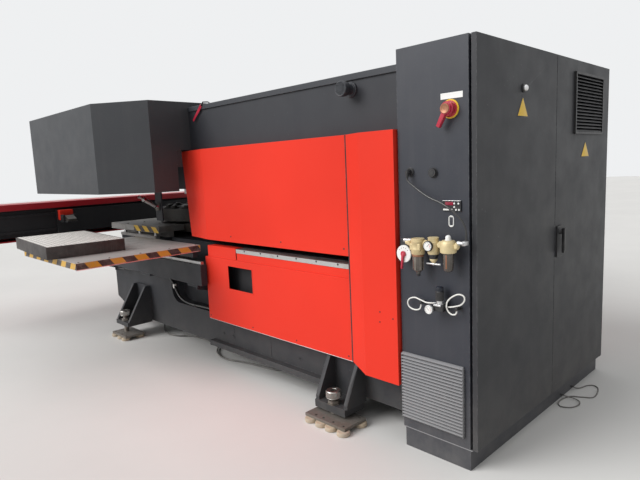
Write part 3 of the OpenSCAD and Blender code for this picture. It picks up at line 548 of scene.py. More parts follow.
# The frame has a material of this name, and the pieces in this finish show that plain one
ZINC = Metal("zinc_plate", "zinc_plate", (0.66, 0.66, 0.64), rough=0.32, stained=0.1)
BRASS = Metal("dull_casting", "brass", (0.70, 0.58, 0.33), rough=0.42, stained=0.35, metallic=0.2,
              stain=(0.26, 0.16, 0.07))
BRONZE = Metal("bronze_insert", "brass", (0.34, 0.15, 0.08), rough=0.40, stained=0.4, metallic=0.4)
LOUVRE_GREY = Paint("louvre_paint", "louvre_grey", (0.24, 0.24, 0.25), rough=0.42, amount=0.2, edge=0.3)
BLACK = Plastic("moulded_black", "black_plastic", (0.010, 0.010, 0.012), rough=0.42)
SMOKED = Plastic("smoked_bowl", "black_plastic", (0.060, 0.048, 0.038), rough=0.20, amount=0.3, coat=0.5)
FOOT_RUBBER = Plastic("foot_elastomer", "rubber", (0.50, 0.40, 0.28), rough=0.70, amount=0.8)
CABLE = Plastic("cable_sheath", "black_cable", (0.016, 0.016, 0.017), rough=0.34, amount=0.12, coat=0.3)
FLOOR_CABLE = Plastic("dusty_cable", "black_cable", (0.12, 0.115, 0.11), rough=0.6, amount=0.6)
HOSE = Plastic("hose_white", "white_hose", (0.78, 0.77, 0.73), rough=0.35, amount=0.1)
WHITE = Plastic("white_plate", "white_hose", (0.80, 0.80, 0.78), rough=0.42, amount=0.06)
YELLOW = Plastic("moulded_yellow", "yellow_plastic", (0.80, 0.50, 0.02), rough=0.35)
RED_PLASTIC = Plastic("moulded_red", "red_plastic", (0.46, 0.010, 0.040), rough=0.30, coat=0.3)
CRIMSON = Plastic("window_red", "red_plastic", (0.26, 0.006, 0.030), rough=0.15, coat=0.8)
BLUE = Plastic("moulded_blue", "blue_plastic", (0.003, 0.006, 0.016), rough=0.35)
BRUSH_SIDE = Plastic("brush_side", "brush", (0.026, 0.020, 0.019), rough=0.6, amount=0.2)
BRISTLES = Tufts("bristle_tufts", "brush", 0.036, math.radians(4.0))
EDGE_TAPE = Stripes("edge_tape", "yellow_plastic", Axis.X, 0.190, slant=-0.75, phase=0.612,
                    first=(0.62, 0.30, 0.012), second=(0.020, 0.008, 0.008))
EDGE_TAPE_LEFT = Stripes("edge_tape_left", "yellow_plastic", Axis.X, 0.190, slant=0.75, phase=0.0,
                         first=(0.62, 0.30, 0.012), second=(0.020, 0.008, 0.008))
END_TAPE = Stripes("end_tape", "yellow_plastic", Axis.Y, 0.190, slant=-0.75, first=(0.66, 0.36, 0.012),
                   second=(0.020, 0.008, 0.008))
TABLE_TAPE = Stripes("table_tape", "yellow_plastic", Axis.Y, 0.190, slant=1.2, phase=0.924,
                     first=(0.66, 0.40, 0.02), second=(0.020, 0.010, 0.010))


# Distance in metres within which a node's points are joined before its edges are rounded
JOIN_GAP = 0.00005

# Sharpest angles in degrees that stay unrounded and that are shaded smooth
ROUND_ANGLE = 35.0
SMOOTH_ANGLE = 38.0


def dress(node: str, finish: Finish, soften: float = 0.0) -> None:
    """Gives a CAD node its finish, and soft edges where asked.

    Args:
        node: The node's name.
        finish: The finish for all of it.
        soften: Width of the rounded edges in metres, or 0 for none.
    """
    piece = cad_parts[node]
    for slot in piece.material_slots:
        slot.material = finish.material()
    if not piece.material_slots:
        piece.data.materials.append(finish.material())
    if soften:
        weld = piece.modifiers.new("join", "WELD")
        weld.merge_threshold = JOIN_GAP
        bevel = piece.modifiers.new("edges", "BEVEL")
        bevel.width = soften
        bevel.segments = 2
        bevel.limit_method = "ANGLE"
        bevel.angle_limit = math.radians(ROUND_ANGLE)
    log.info("dressed %s in %s", node, finish.name)


# Modelling


class Body(Enum):
    """The bodies of the machine that new pieces ride on."""

    BASE = "base"
    CARRIAGE = "carriage"
    DOOR_RIGHT = "door_right"
    DOOR_LEFT = "door_left"
    DOOR_HANDLE = "door_handle"
    SWITCH = "switch_handle"
    VALVE = "valve_lever"
    SCREW = "regulator_screw"
    KNOB = "fine_regulator_knob"
    GUARD_ROD = "guard_rod"


OUT = Vector((1.0, 0.0, 0.0))
BACK = Vector((0.0, 1.0, 0.0))
FRONT = Vector((0.0, -1.0, 0.0))
UP = Vector((0.0, 0.0, 1.0))
DOWN = Vector((0.0, 0.0, -1.0))
Span = tuple[float, float]
Test = Callable[[Vector, Vector], bool]


def everywhere(centre: Vector, normal: Vector) -> bool:
    """Selects every face."""
    return True


def facing(aim: Vector) -> Test:
    """Returns a test for the faces that look along a direction."""
    return lambda centre, normal: normal.dot(aim) > 0.9


class Piece:
    """One mesh, modelled step by step with Blender's operators at its own place."""

    def __init__(self, name: str) -> None:
        """Takes the object that was just added and names it."""
        self.obj = bpy.context.object
        self.obj.name = name
        self.obj.data.name = name

    @staticmethod
    def start() -> None:
        """Deselects everything before a primitive is added."""
        bpy.ops.object.select_all(action="DESELECT")

    @classmethod
    def slab(cls, name: str, x: Span, d: Span, z: Span) -> "Piece":
        """Starts a piece from a block.

        Args:
            name: The piece's name.
            x: Its places across the machine in millimetres.
            d: Its distances from the closed doors' faces in millimetres.
            z: Its heights in millimetres.

        Returns:
            The new piece.
        """
        cls.start()
        low, high = at(x[0], d[1], z[0]), at(x[1], d[0], z[1])
        bpy.ops.mesh.primitive_cube_add(size=1.0, location=(low + high) / 2, scale=high - low)
        bpy.ops.object.transform_apply(location=True, rotation=True, scale=True)
        return cls(name)

    @classmethod
    def hanging(cls, name: str, x: Span, half: float, z: Span) -> "Piece":
        """Starts a bar about the frame's origin, to be swung into place later."""
        return cls.slab(name, x, (-half, half), z).place(Matrix.Translation(-at(0, 0, 0)))

    @classmethod
    def turned(cls, name: str, place: Vector, aim: Vector, rings: Sequence[tuple[float, float]],
               sides: int = 32) -> "Piece":
        """Turns a round piece ring by ring, as on a lathe.

        Args:
            name: The piece's name.
            place: Where its axis starts, in metres.
            aim: The direction of its axis.
            rings: Distance along the axis and radius of each ring, in millimetres.
            sides: Number of sides.

        Returns:
            The new piece.
        """
        cls.start()
        height, size = rings[0]
        bpy.ops.mesh.primitive_circle_add(vertices=sides, radius=size * MM, fill_type="NGON",
                                          location=(0, 0, height * MM))
        bpy.ops.object.transform_apply(location=True, rotation=True, scale=True)
        piece = cls(name)
        bpy.ops.object.mode_set(mode="EDIT")
        bpy.ops.mesh.select_all(action="SELECT")
        for next_height, next_size in rings[1:]:
            step = (0.0, 0.0, (next_height - height) * MM)
            bpy.ops.mesh.extrude_region_move(TRANSFORM_OT_translate={"value": step})
            ratio = next_size / size
            bpy.ops.transform.resize(value=(ratio, ratio, 1.0), center_override=(0.0, 0.0, 0.0))
            height, size = next_height, next_size
        bpy.ops.object.mode_set(mode="OBJECT")
        piece.place(Matrix.Translation(place) @ UP.rotation_difference(aim).to_matrix().to_4x4())
        return piece

    def place(self, move: Matrix) -> "Piece":
        """Moves the whole mesh by a matrix and keeps the object at the origin."""
        self.obj.data.transform(move)
        self.obj.data.update()
        return self

    def pick(self, test: Test) -> None:
        """Enters edit mode with the faces selected whose centre and normal pass a test."""
        self.start()
        self.obj.select_set(True)
        bpy.context.view_layer.objects.active = self.obj
        bpy.ops.object.mode_set(mode="EDIT")
        bpy.ops.mesh.select_mode(type="FACE")
        bpy.ops.mesh.select_all(action="DESELECT")
        mesh = bmesh.from_edit_mesh(self.obj.data)
        for face in mesh.faces:
            face.select_set(bool(test(face.calc_center_median(), face.normal)))
        bmesh.update_edit_mesh(self.obj.data)

    def inset(self, test: Test, width: float, depth: float = 0.0, single: bool = False) -> "Piece":
        """Insets the picked faces and sinks or raises them, in millimetres."""
        self.pick(test)
        bpy.ops.mesh.inset(thickness=width * MM, depth=depth * MM, use_individual=single)
        bpy.ops.object.mode_set(mode="OBJECT")
        return self

    def draw_out(self, test: Test, move: Vector, scale: Optional[Point] = None,
                 centre: Optional[Vector] = None) -> "Piece":
        """Extrudes the picked faces along a move in metres and scales the new end."""
        self.pick(test)
        bpy.ops.mesh.extrude_region_move(TRANSFORM_OT_translate={"value": tuple(move)})
        if scale is not None:
            about = (0, 0, 0) if centre is None else tuple(centre)
            bpy.ops.transform.resize(value=scale, center_override=about)
        bpy.ops.object.mode_set(mode="OBJECT")
        return self

    def squeeze(self, test: Test, scale: Point, centre: Vector) -> "Piece":
        """Scales the picked faces about a place."""
        self.pick(test)
        bpy.ops.transform.resize(value=scale, center_override=tuple(centre))
        bpy.ops.object.mode_set(mode="OBJECT")
        return self

    def swing(self, turn: float, place: Vector) -> "Piece":
        """Turns the mesh about X by an angle in radians and moves it to a place in metres."""
        return self.place(Matrix.Translation(place) @ Matrix.Rotation(turn, 4, "X"))

    def shift(self, test: Test, move: Vector) -> "Piece":
        """Moves the picked faces by a move in metres."""
        self.pick(test)
        bpy.ops.transform.translate(value=tuple(move))
        bpy.ops.object.mode_set(mode="OBJECT")
        return self

    def soften(self, width: float, segments: int = 2, angle: float = ROUND_ANGLE) -> "Piece":
        """Rounds the edges that are sharper than an angle, in millimetres and degrees."""
        rounding = self.obj.modifiers.new("rounding", "BEVEL")
        rounding.width = width * MM
        rounding.segments = segments
        rounding.limit_method = "ANGLE"
        rounding.angle_limit = math.radians(angle)
        self.start()
        self.obj.select_set(True)
        bpy.context.view_layer.objects.active = self.obj
        bpy.ops.object.modifier_apply(modifier=rounding.name)
        return self

    def repeat(self, moves: Sequence[Matrix]) -> "Piece":
        """Copies the piece to more places, each copy with its own mesh, and joins them.

        Args:
            moves: Where each copy goes, counted from the first.

        Returns:
            The joined piece.
        """
        copies = []
        for move in moves:
            copy = self.obj.copy()
            copy.data = self.obj.data.copy()
            copy.data.transform(move)
            if move.determinant() < 0:
                copy.data.flip_normals()
            bpy.context.scene.collection.objects.link(copy)
            copies.append(copy)
        self.start()
        for copy in copies:
            copy.select_set(True)
        self.obj.select_set(True)
        bpy.context.view_layer.objects.active = self.obj
        bpy.ops.object.join()
        return self

    def both_sides(self) -> "Piece":
        """Adds the mirror image on the other side of the machine."""
        return self.repeat([Matrix.Scale(-1.0, 4, (1.0, 0.0, 0.0))])

    def finish(self, finish: Finish, body: Body = Body.BASE, replaces: str = "") -> None:
        """Closes the piece: normals, smooth shading, finish and body.

        Args:
            finish: The finish of the whole piece.
            body: The body that it moves with.
            replaces: The CAD node that it stands for, or nothing for a new piece.
        """
        self.pick(everywhere)
        bpy.ops.mesh.normals_make_consistent(inside=False)
        bpy.ops.object.mode_set(mode="OBJECT")
        bpy.ops.object.shade_smooth_by_angle(angle=math.radians(SMOOTH_ANGLE))
        self.obj.data.materials.clear()
        self.obj.data.materials.append(finish.material())
        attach(self.obj, body.value)
        if replaces:
            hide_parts(replaces)
        log.info("%s in %s on %s", self.obj.name, finish.name, body.value)


def row(step: Vector, count: int) -> list[Matrix]:
    """Returns the moves of the further pieces in a row of equal steps."""
    return [Matrix.Translation(step * k) for k in range(1, count)]


def spots(places: Sequence[Vector]) -> list[Matrix]:
    """Returns the moves from the first place to each further one."""
    return [Matrix.Translation(place - places[0]) for place in places[1:]]


def screws(name: str, places: Sequence[Vector], aim: Vector, radius: float, finish: Finish, body: Body,
           mirrored: bool = False) -> None:
    """Sets round screw heads with a socket.

    Args:
        name: The name of the set.
        places: Where each head sits on its sheet.
        aim: The direction that the heads face.
        radius: The radius of a head in millimetres.
        finish: The finish of the heads.
        body: The body that they move with.
        mirrored: Whether the other side has them too.
    """
    r = radius
    rings = [(-0.5, 1.3 * r), (0.7, 1.3 * r), (0.9, r), (0.55 * r, 0.92 * r), (0.7 * r, 0.7 * r),
             (0.7 * r, 0.42 * r), (0.25 * r, 0.4 * r)]
    head = Piece.turned(name, places[0], aim, rings, 12)
    head.repeat(spots(places))
    if mirrored:
        head.both_sides()
    head.finish(finish, body)


def bent_rod(name: str, bends: Sequence[Vector], radius: float) -> Piece:
    """Makes a rod of straight runs with round joints.

    Args:
        name: The piece's name.
        bends: Its ends and bends in metres.
        radius: Its radius in millimetres.

    Returns:
        The joined rod.
    """
    r = radius
    runs = []
    for start, end in zip(bends, bends[1:]):
        long = (end - start).length / MM
        rings = [(-0.9 * r, 0.35 * r), (-0.6 * r, 0.8 * r), (0, r), (long, r), (long + 0.6 * r, 0.8 * r),
                 (long + 0.9 * r, 0.35 * r)]
        runs.append(Piece.turned(name, start, (end - start).normalized(), rings, 14))
    Piece.start()
    for run in runs:
        run.obj.select_set(True)
    bpy.context.view_layer.objects.active = runs[0].obj
    bpy.ops.object.join()
    runs[0].obj.name = name
    return runs[0]


# Cords


@dataclass
class Cord:
    """A free cable or hose that lies on the route that its solid takes."""

    name: str
    node: str
    route: Sequence[Point]
    radius: float
    finish: Finish
    stiffness: str
    steps: int = 5

    def smooth(self) -> list[Vector]:
        """Returns closely spaced points on one smooth curve through the route."""
        points = [at(*p) for p in self.route]
        fine: list[Vector] = []
        for i in range(len(points) - 1):
            before = points[max(i - 1, 0)]
            after = points[min(i + 2, len(points) - 1)]
            a, b = points[i], points[i + 1]
            for k in range(self.steps):
                t = k / self.steps
                fine.append(0.5 * (2 * a + (b - before) * t + (2 * before - 5 * a + 4 * b - after) * t * t
                                   + (3 * a - before - 3 * b + after) * t ** 3))
        fine.append(points[-1])
        return fine

    def make(self) -> None:
        points = self.smooth()
        data = bpy.data.curves.new(self.name, "CURVE")
        data.dimensions = "3D"
        data.bevel_depth = self.radius
        data.bevel_resolution = 4
        data.use_fill_caps = True
        line = data.splines.new("POLY")
        line.points.add(len(points) - 1)
        for target, point in zip(line.points, points):
            target.co = (*point, 1.0)
        piece = bpy.data.objects.new(self.name, data)
        bpy.context.scene.collection.objects.link(piece)
        data.materials.append(self.finish.material())
        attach(piece, "base")
        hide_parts(self.node)


def make_cords() -> None:
    """Makes the cables and hoses that lie on or beside the machine."""
    x = HOSE_X
    Cord("flank_cable_line", "flank_cable",
         [(x, 390, 1568), (x, 390, 1556), (x, 372, 1538), (x, 329, 1508), (x + 4, 274, 1476),
          (x + 8, 223, 1454), (x + 12, 180, 1440), (x + 14, 136, 1417), (x + 12, 95, 1388),
          (x + 8, 59, 1353), (x + 4, 40, 1313), (x + 2, 36, 1285), (x, 38, 1266), (x, 38, 1254)],
         0.005, CABLE, "medium").make()
    Cord("hose_left_line", "hose_left",
         [(x, 224, 900), (x, 240, 900), (x, 280, 897), (x, 321, 907), (x, 356, 914), (x, 390, 902),
          (x, 403, 879), (x, 391, 855), (x, 358, 845), (x, 328, 852), (x, 316, 870), (x, 316, 886)],
         0.004, HOSE, "medium").make()
    Cord("hose_right_line", "hose_right",
         [(x, 157, 893), (x, 141, 893), (x, 108, 901), (x, 70, 916), (x, 49, 943), (x + 3, 54, 966),
          (x + 7, 84, 970), (x + 10, 122, 948), (x + 10, 146, 918), (x + 10, 146, 884),
          (x + 10, 124, 862), (x + 10, 100, 862), (x + 10, 90, 874), (x + 10, 90, 886)],
         0.004, HOSE, "medium").make()
    Cord("side_floor_line", "side_floor_cable",
         [(670, 3840, 136), (670, 3840, 112), (674, 3832, 50), (690, 3805, 18), (725, 3745, 12),
          (757, 3640, 12), (757, 3540, 12), (730, 3440, 12), (672, 3370, 12), (640, 3270, 12),
          (622, 3113, 12), (645, 2870, 12), (700, 2790, 12), (765, 2700, 12), (808, 2570, 12),
          (800, 2440, 12), (760, 2320, 12), (735, 2200, 12), (700, 1990, 12), (680, 1930, 22),
          (670, 1905, 60), (670, 1900, 112), (670, 1900, 136)],
         0.007, FLOOR_CABLE, "stiff").make()
    Cord("cabinet_floor_line", "cabinet_floor_cable",
         [(-442, 38, 22), (-442, 26, 22), (-456, 8, 12), (-500, -12, 5), (-560, -30, 5), (-592, -62, 5),
          (-570, -98, 5), (-500, -123, 5), (-389, -131, 5), (-345, -70, 5), (-310, -12, 5), (-240, 14, 5),
          (-160, 12, 5), (-115, -20, 5), (-142, -77, 5), (-210, -100, 5), (-262, -84, 8), (-272, -40, 14),
          (-268, 4, 16), (-262, 26, 22), (-262, 38, 22)],
         0.004, FLOOR_CABLE, "medium").make()
    Cord("arm_cable_line", "arm_cable",
         [(836, 4500, 622), (836, 4460, 622), (836, 4400, 624), (836, 4320, 630), (836, 4220, 637),
          (836, 4071, 643), (836, 3843, 647), (836, 3600, 651), (836, 3440, 655), (836, 3385, 654),
          (836, 3335, 643), (836, 3290, 615), (836, 3253, 575), (836, 3218, 530), (836, 3175, 487),
          (836, 3120, 460), (836, 3061, 447), (836, 2991, 440), (836, 2869, 441), (836, 2735, 447),
          (836, 2600, 447), (836, 2556, 447)],
         0.011, CABLE, "stiff").make()


# Sub-assemblies


@dataclass
class MainSwitch:
    """The red and yellow main switch on the flank, with its blank plate."""

    d: float = 138.0
    z: float = 1905.0
    disc_r: float = 48.0
    hub_r: float = 36.0
    lever_w: float = 26.0
    lever_angle: float = -29.0
    plate_d: Span = (69.0, 195.0)
    plate_z: Span = (1955.0, 1985.0)

    def make(self) -> None:
        """Builds the disc, the stepped neck, the handle and the plate."""
        wall = at(FLANK, self.d, self.z)
        r, h = self.disc_r, self.hub_r
        disc = [(0, r), (4.5, r), (6, r - 1.5), (6, r - 5), (6.8, r - 6), (6.8, 24)]
        Piece.turned("switch_disc", wall, OUT, disc, 48).finish(YELLOW, replaces="switch_base")
        neck = [(6, 41), (12, 41), (13.5, 39.5), (13.5, 36), (21.8, 36), (21.8, 20)]
        Piece.turned("switch_neck", wall, OUT, neck, 40).finish(RED_PLASTIC)
        hub = [(22, h), (38, h), (41, h - 3), (41, h - 6), (52, h - 7), (55, h - 10), (55, 10)]
        Piece.turned("switch_hub", wall, OUT, hub, 40).finish(RED_PLASTIC, Body.SWITCH, "switch_handle")
        insert = [(54.5, 25), (57, 25), (58.5, 23.5), (58.5, 20), (57.8, 19), (57.8, 5), (56.5, 4),
                  (56.5, 2)]
        Piece.turned("switch_insert", wall, OUT, insert, 32).finish(BRONZE, Body.SWITCH)
        self.lever(wall)
        plate = Piece.slab("name_plate", (FLANK - 1, FLANK + 2), self.plate_d, self.plate_z)
        plate.inset(facing(OUT), 2.0, -0.4).soften(0.8).finish(WHITE)

    def lever(self, wall: Vector) -> None:
        """Builds the long lever, which narrows towards its tip."""
        lever = Piece.hanging("switch_lever", (FLANK + 24, FLANK + 52), self.lever_w / 2, (-99, 20))
        lever.squeeze(facing(DOWN), (0.7, 0.86, 1.0), Vector((FLANK * MM + 0.040, 0, 0)))
        lever.inset(facing(OUT), 4.0, 1.6)
        lever.soften(3.0, 3)
        lever.swing(math.radians(self.lever_angle), Vector((0, wall.y, wall.z)))
        lever.finish(RED_PLASTIC, Body.SWITCH)


@dataclass
class FlankFittings:
    """Plug, cap, counter, oval plate and hose fittings on the cabinet's flank."""

    plug_d: float = 390.0
    plug_z: float = 1597.0
    cap_d: float = 245.0
    cap_z: float = 1591.0
    oval_d: float = 139.5
    oval_z: float = 1341.0
    oval_half: float = 0.0145
    hose_end_z: float = 886.0
    counter_d: Span = (80.0, 188.0)
    counter_z: Span = (1393.0, 1447.0)

    def make(self) -> None:
        """Builds all the fittings."""
        self.plug()
        self.counter()
        self.oval()
        self.hose_ends()

    def plug(self) -> None:
        """Builds the socket with its plug and the closed cap beside it."""
        wall = at(FLANK, self.plug_d, self.plug_z)
        Piece.turned("socket_ring", wall, OUT, [(0, 25), (3, 25), (4, 23), (9, 23), (11, 21), (11, 16),
                                                (4, 15)], 32).finish(BLACK, replaces="flank_fittings")
        Piece.turned("plug_body", wall, OUT, [(3, 13), (26, 13), (28, 12), (38, 10), (40, 8)],
                     20).finish(BLACK)
        elbow = at(FLANK + 30, self.plug_d, self.plug_z + 7)
        Piece.turned("plug_elbow", elbow, DOWN, [(0, 9), (6, 10.5), (20, 10.5), (21, 8.5), (26, 8.5),
                                                 (27, 7.5), (36, 6.5)], 20).finish(BLACK)
        wall = at(FLANK, self.cap_d, self.cap_z)
        Piece.turned("cap_flange", wall, OUT, [(0, 27), (3, 27), (5, 25), (5, 20)], 32).finish(BLACK)
        cap = Piece.turned("cap_knob", wall, OUT, [(4, 23), (15, 23), (17, 21), (17, 14), (18.5, 13)], 24)
        cap.inset(lambda c, n: abs(n.x) < 0.2 and c.x > (FLANK + 5) * MM, 1.0, -1.0, single=True)
        cap.finish(BLACK)

    def counter(self) -> None:
        """Builds the counter with its red window, buttons and blank label, and a bright strip along its top
        edge as painted highlight.
        """
        d, z = self.counter_d, self.counter_z
        box = Piece.slab("counter_box", (FLANK - 1, FLANK + 8), d, z)
        box.inset(facing(OUT), 3.0, -1.2).soften(0.9).finish(BLACK)
        # Bright strip along the counter's top edge: painted highlight
        edge = Piece.slab("counter_top_highlight", (FLANK + 1, FLANK + 8.6), (d[0] + 1, d[1] - 1),
                          (z[1] - 1.5, z[1] + 1.2))
        edge.soften(0.5).finish(ALUMINIUM)
        window = Piece.slab("counter_window", (FLANK + 6, FLANK + 8.4), (124, 171), (1424, 1441))
        window.inset(facing(OUT), 1.2, -0.5).soften(0.4).finish(CRIMSON)
        buttons = ((118, 1433), (94, 1433), (118, 1415), (133, 1401), (108, 1401), (91, 1401))
        places = [at(FLANK + 6.6, button_d, button_z) for button_d, button_z in buttons]
        button = Piece.turned("counter_buttons", places[0], OUT,
                              [(0, 5.2), (1.4, 5.0), (2.0, 4.2), (1.7, 2.0)], 12)
        button.repeat(spots(places)).finish(WHITE)
        label = Piece.slab("counter_label", (FLANK + 6.4, FLANK + 7.6), (149, 183), (1397, 1405))
        label.inset(facing(OUT), 0.8, 0.2).finish(WHITE)

    def oval(self) -> None:
        """Builds the bright oval rim round a dark key plate."""
        place = at(FLANK, self.oval_d, self.oval_z)
        rim = Piece.turned("oval_rim", place, OUT,
                           [(0, 15.5), (2.6, 15.5), (3.4, 14.7), (3.4, 12.0), (2.4, 11.2), (0.6, 11.0)], 32)
        rim.shift(lambda c, n: c.z > place.z + 0.0005, UP * self.oval_half)
        rim.shift(lambda c, n: c.z < place.z - 0.0005, DOWN * self.oval_half)
        rim.finish(WHITE)
        core = Piece.slab("oval_core", (FLANK, FLANK + 1.6), (130, 149), (1320, 1362))
        core.soften(4.0, 3).finish(CABINET_GREY)

    def hose_ends(self) -> None:
        """Builds the wall elbows that the free ends of the hoses go up into."""
        z = self.hose_end_z
        for name, d, reach in (("hose_end_left", 316, HOSE_X), ("hose_end_right", 90, HOSE_X + 10)):
            wall = at(FLANK, d, z + 5)
            Piece.turned(name, wall, OUT, [(0, 13), (3, 13), (4, 9), (reach - FLANK + 6, 9),
                                           (reach - FLANK + 8, 7)], 20).finish(BLACK)
            collar = Piece.turned(name + "_collar", at(reach, d, z + 8), DOWN,
                                  [(0, 8), (7.5, 8), (8, 7.5), (10.5, 7.5), (11.5, 6), (11.5, 4.4)], 20)
            collar.finish(ZINC)


@dataclass
class Gauge:
    """A round pressure gauge that looks away from the flank."""

    name: str
    x: float
    d: float
    z: float
    radius: float
    rim: Finish
    needle_turn: float = 0.6

    def make(self) -> None:
        """Builds the case, the face and the needle."""
        r = self.radius
        place = at(self.x, self.d, self.z)
        case = Piece.turned(self.name + "_case", place, OUT,
                            [(-8, 7), (0, 7), (0, r * 0.7), (3, r), (13, r), (15.5, r - 1.2),
                             (16, r - 3), (14, r - 3.6)], 40)
        case.finish(self.rim)
        face = at(self.x + 14.2, self.d, self.z)
        dial = Dial(self.name + "_dial", "white_hose", tuple(face), (r - 3) * MM)
        disc = Piece.turned(self.name + "_face", face, OUT,
                            [(-1, r - 3.2), (0, r - 3.2), (0.3, r * 0.5)], 40)
        disc.finish(dial)
        needle = Piece.hanging(self.name + "_needle", (self.x + 14.6, self.x + 15.4), 0.9, (-5, r * 0.62))
        needle.squeeze(facing(UP), (1.0, 0.3, 1.0), Vector((0, 0, 0)))
        needle.swing(self.needle_turn, Vector((0, face.y, face.z)))
        needle.finish(BLACK)


@dataclass
class AirUnit:
    """Filter, regulator and oiler on one line, with the shut-off valve."""

    x: float = 1008.0
    filter_d: float = 303.0
    regulator_d: float = 207.0
    oiler_d: float = 119.0
    valve_d: float = 410.0
    valve_z: float = 1155.0
    line_z: float = 1224.0
    lever_angle: float = -7.0

    def make(self) -> None:
        """Builds the three units, the line between them, the gauge and the valve."""
        self.filter()
        self.regulator()
        self.oiler()
        self.line()
        Gauge("line_gauge", self.x + 32, 213, 1220, 27, BLACK, -0.7).make()
        self.valve()

    def filter(self) -> None:
        """Builds the filter's head, its bronze ring, its bowl and the bars round it."""
        x, d = self.x, self.filter_d
        Piece.turned("filter_head", at(x, d, 1165), UP,
                     [(0, 32), (5, 36), (30, 38), (33, 36), (58, 36), (62, 39), (74, 39), (76, 36),
                      (82, 36), (85, 33), (85, 20)], 40).finish(BRASS, replaces="air_unit")
        shoulder = Piece.slab("filter_block", (x - 34, x + 34), (d - 34, d + 34), (1188, 1226))
        shoulder.inset(facing(OUT), 9.0, -2.0).soften(7.0, 3).finish(BRASS)
        Piece.turned("filter_ring", at(x, d, 1154), UP,
                     [(0, 30), (2, 31.5), (9, 31.5), (11, 30)], 32).finish(BRONZE)
        bowl = Piece.turned("filter_bowl", at(x, d, 1156), DOWN,
                            [(0, 29), (62, 27.5), (76, 24), (84, 17), (88, 11), (96, 10), (97, 8)], 32)
        bowl.finish(SMOKED)
        guard = Piece.slab("filter_guard", (x + 26, x + 29.5), (d - 6, d + 6), (1082, 1156))
        guard.soften(1.2)
        guard.repeat([Matrix.Translation(at(x, d, 0)) @ Matrix.Rotation(math.radians(a), 4, "Z")
                      @ Matrix.Translation(-at(x, d, 0)) for a in (60, 120, 180, 240, 300)])
        guard.finish(WORN_STEEL)
        Piece.turned("filter_drain", at(x, d, 1062), DOWN,
                     [(0, 7), (3, 10), (13, 10), (15, 8), (15, 4)], 14).finish(BLACK)

    def regulator(self) -> None:
        """Builds the pressure regulator and its T screw."""
        x, d = self.x, self.regulator_d
        Piece.turned("regulator_head", at(x, d, 1172), UP,
                     [(0, 26), (6, 30), (26, 31), (48, 29), (52, 31), (66, 31), (68, 28), (84, 28),
                      (88, 30), (90, 27), (90, 16)], 40).finish(BRASS)
        Piece.turned("regulator_collar", at(x, d, 1176), DOWN,
                     [(0, 27), (10, 27), (12, 22), (26, 21), (30, 16)], 32).finish(BLACK)
        Piece.turned("regulator_cup", at(x, d, 1158), DOWN,
                     [(0, 20), (16, 20), (19, 17), (26, 12), (30, 9)], 28).finish(BRASS)
        rings = [(0, 6.8)]
        for k in range(7):
            rings += [(1.5 + 4 * k, 6.8), (3 + 4 * k, 5.8)]
        screw = Piece.turned("regulator_stem", at(x, d, 1150), DOWN, rings, 16)
        screw.finish(ZINC, Body.SCREW, "regulator_screw")
        bar = Piece.turned("regulator_bar", at(x, d - 43, 1121), FRONT,
                           [(0, 3.6), (2, 5), (37, 5), (38, 7.5), (48, 7.5), (49, 5), (84, 5), (86, 3.6)],
                           16)
        bar.finish(ZINC, Body.SCREW)

    def oiler(self) -> None:
        """Builds the oiler with its sight dome and its dark bowl."""
        x, d = self.x, self.oiler_d
        Piece.turned("oiler_head", at(x, d, 1186), UP,
                     [(0, 35), (3, 40), (9, 42), (38, 42), (50, 40), (60, 36), (65, 30), (65, 17)],
                     40).finish(BRASS)
        Piece.turned("oiler_sight", at(x, d, 1250), UP,
                     [(0, 17), (5, 17), (6, 14), (18, 14), (24, 11), (27, 6), (28, 3)], 28).finish(WHITE)
        Piece.turned("oiler_bowl", at(x, d, 1188), DOWN,
                     [(0, 29), (6, 29), (7, 27), (78, 26), (90, 23), (97, 17), (100, 9)], 32).finish(SMOKED)
        Piece.turned("oiler_tube", at(x + 24, d - 3, 1180), DOWN,
                     [(0, 3), (2, 4), (70, 4), (72, 2.5)], 12).finish(BRONZE)
        nut = Piece.turned("oiler_nut", at(x, d - 40, self.line_z), BACK,
                           [(0, 16), (2, 18), (16, 18), (18, 16), (18, 12)], 6)
        nut.finish(BRASS)

    def line(self) -> None:
        """Builds the pipe through the units, its nuts and the wall brackets."""
        x, z = self.x, self.line_z
        Piece.turned("line_pipe", at(x, 58, z), FRONT,
                     [(0, 10), (3, 13), (140, 13), (141, 14), (196, 14), (197, 12), (320, 12), (322, 10)],
                     24).finish(BRASS)
        nuts = [at(x, d, z) for d in (163, 252, 352)]
        nut = Piece.turned("line_nuts", nuts[0], FRONT,
                           [(-8, 18), (-6, 20), (8, 20), (10, 18), (10, 13)], 6)
        nut.repeat(spots(nuts)).finish(BRASS)
        Piece.turned("line_inlet", at(x, 345, 1236), FRONT,
                     [(0, 9), (2, 11), (20, 11), (22, 9), (48, 9), (50, 7)], 20).finish(ZINC)
        bracket = Piece.slab("line_bracket", (FLANK, x), (196, 218), (1205, 1235))
        bracket.inset(facing(UP), 4.0, -2.0).soften(2.0)
        bracket.repeat([Matrix.Translation(Vector((0, -0.096, 0)))]).finish(ZINC)
        outlet = Piece.turned("line_outlet", at(x - 2, 66, 1240), BACK,
                              [(0, 10), (2, 12), (12, 12), (14, 9), (30, 9), (34, 6)], 18)
        outlet.finish(ZINC)
        elbow = Piece.slab("pressure_elbow", (FLANK + 20, x - 4), (27, 49), (1226, 1250))
        elbow.soften(5.0, 3).finish(ZINC)
        Piece.turned("pressure_collar", at(FLANK + 30, 38, 1248), UP,
                     [(0, 9), (5, 9), (6, 7.5), (9, 7.2), (10, 5.6)], 18).finish(BLACK)

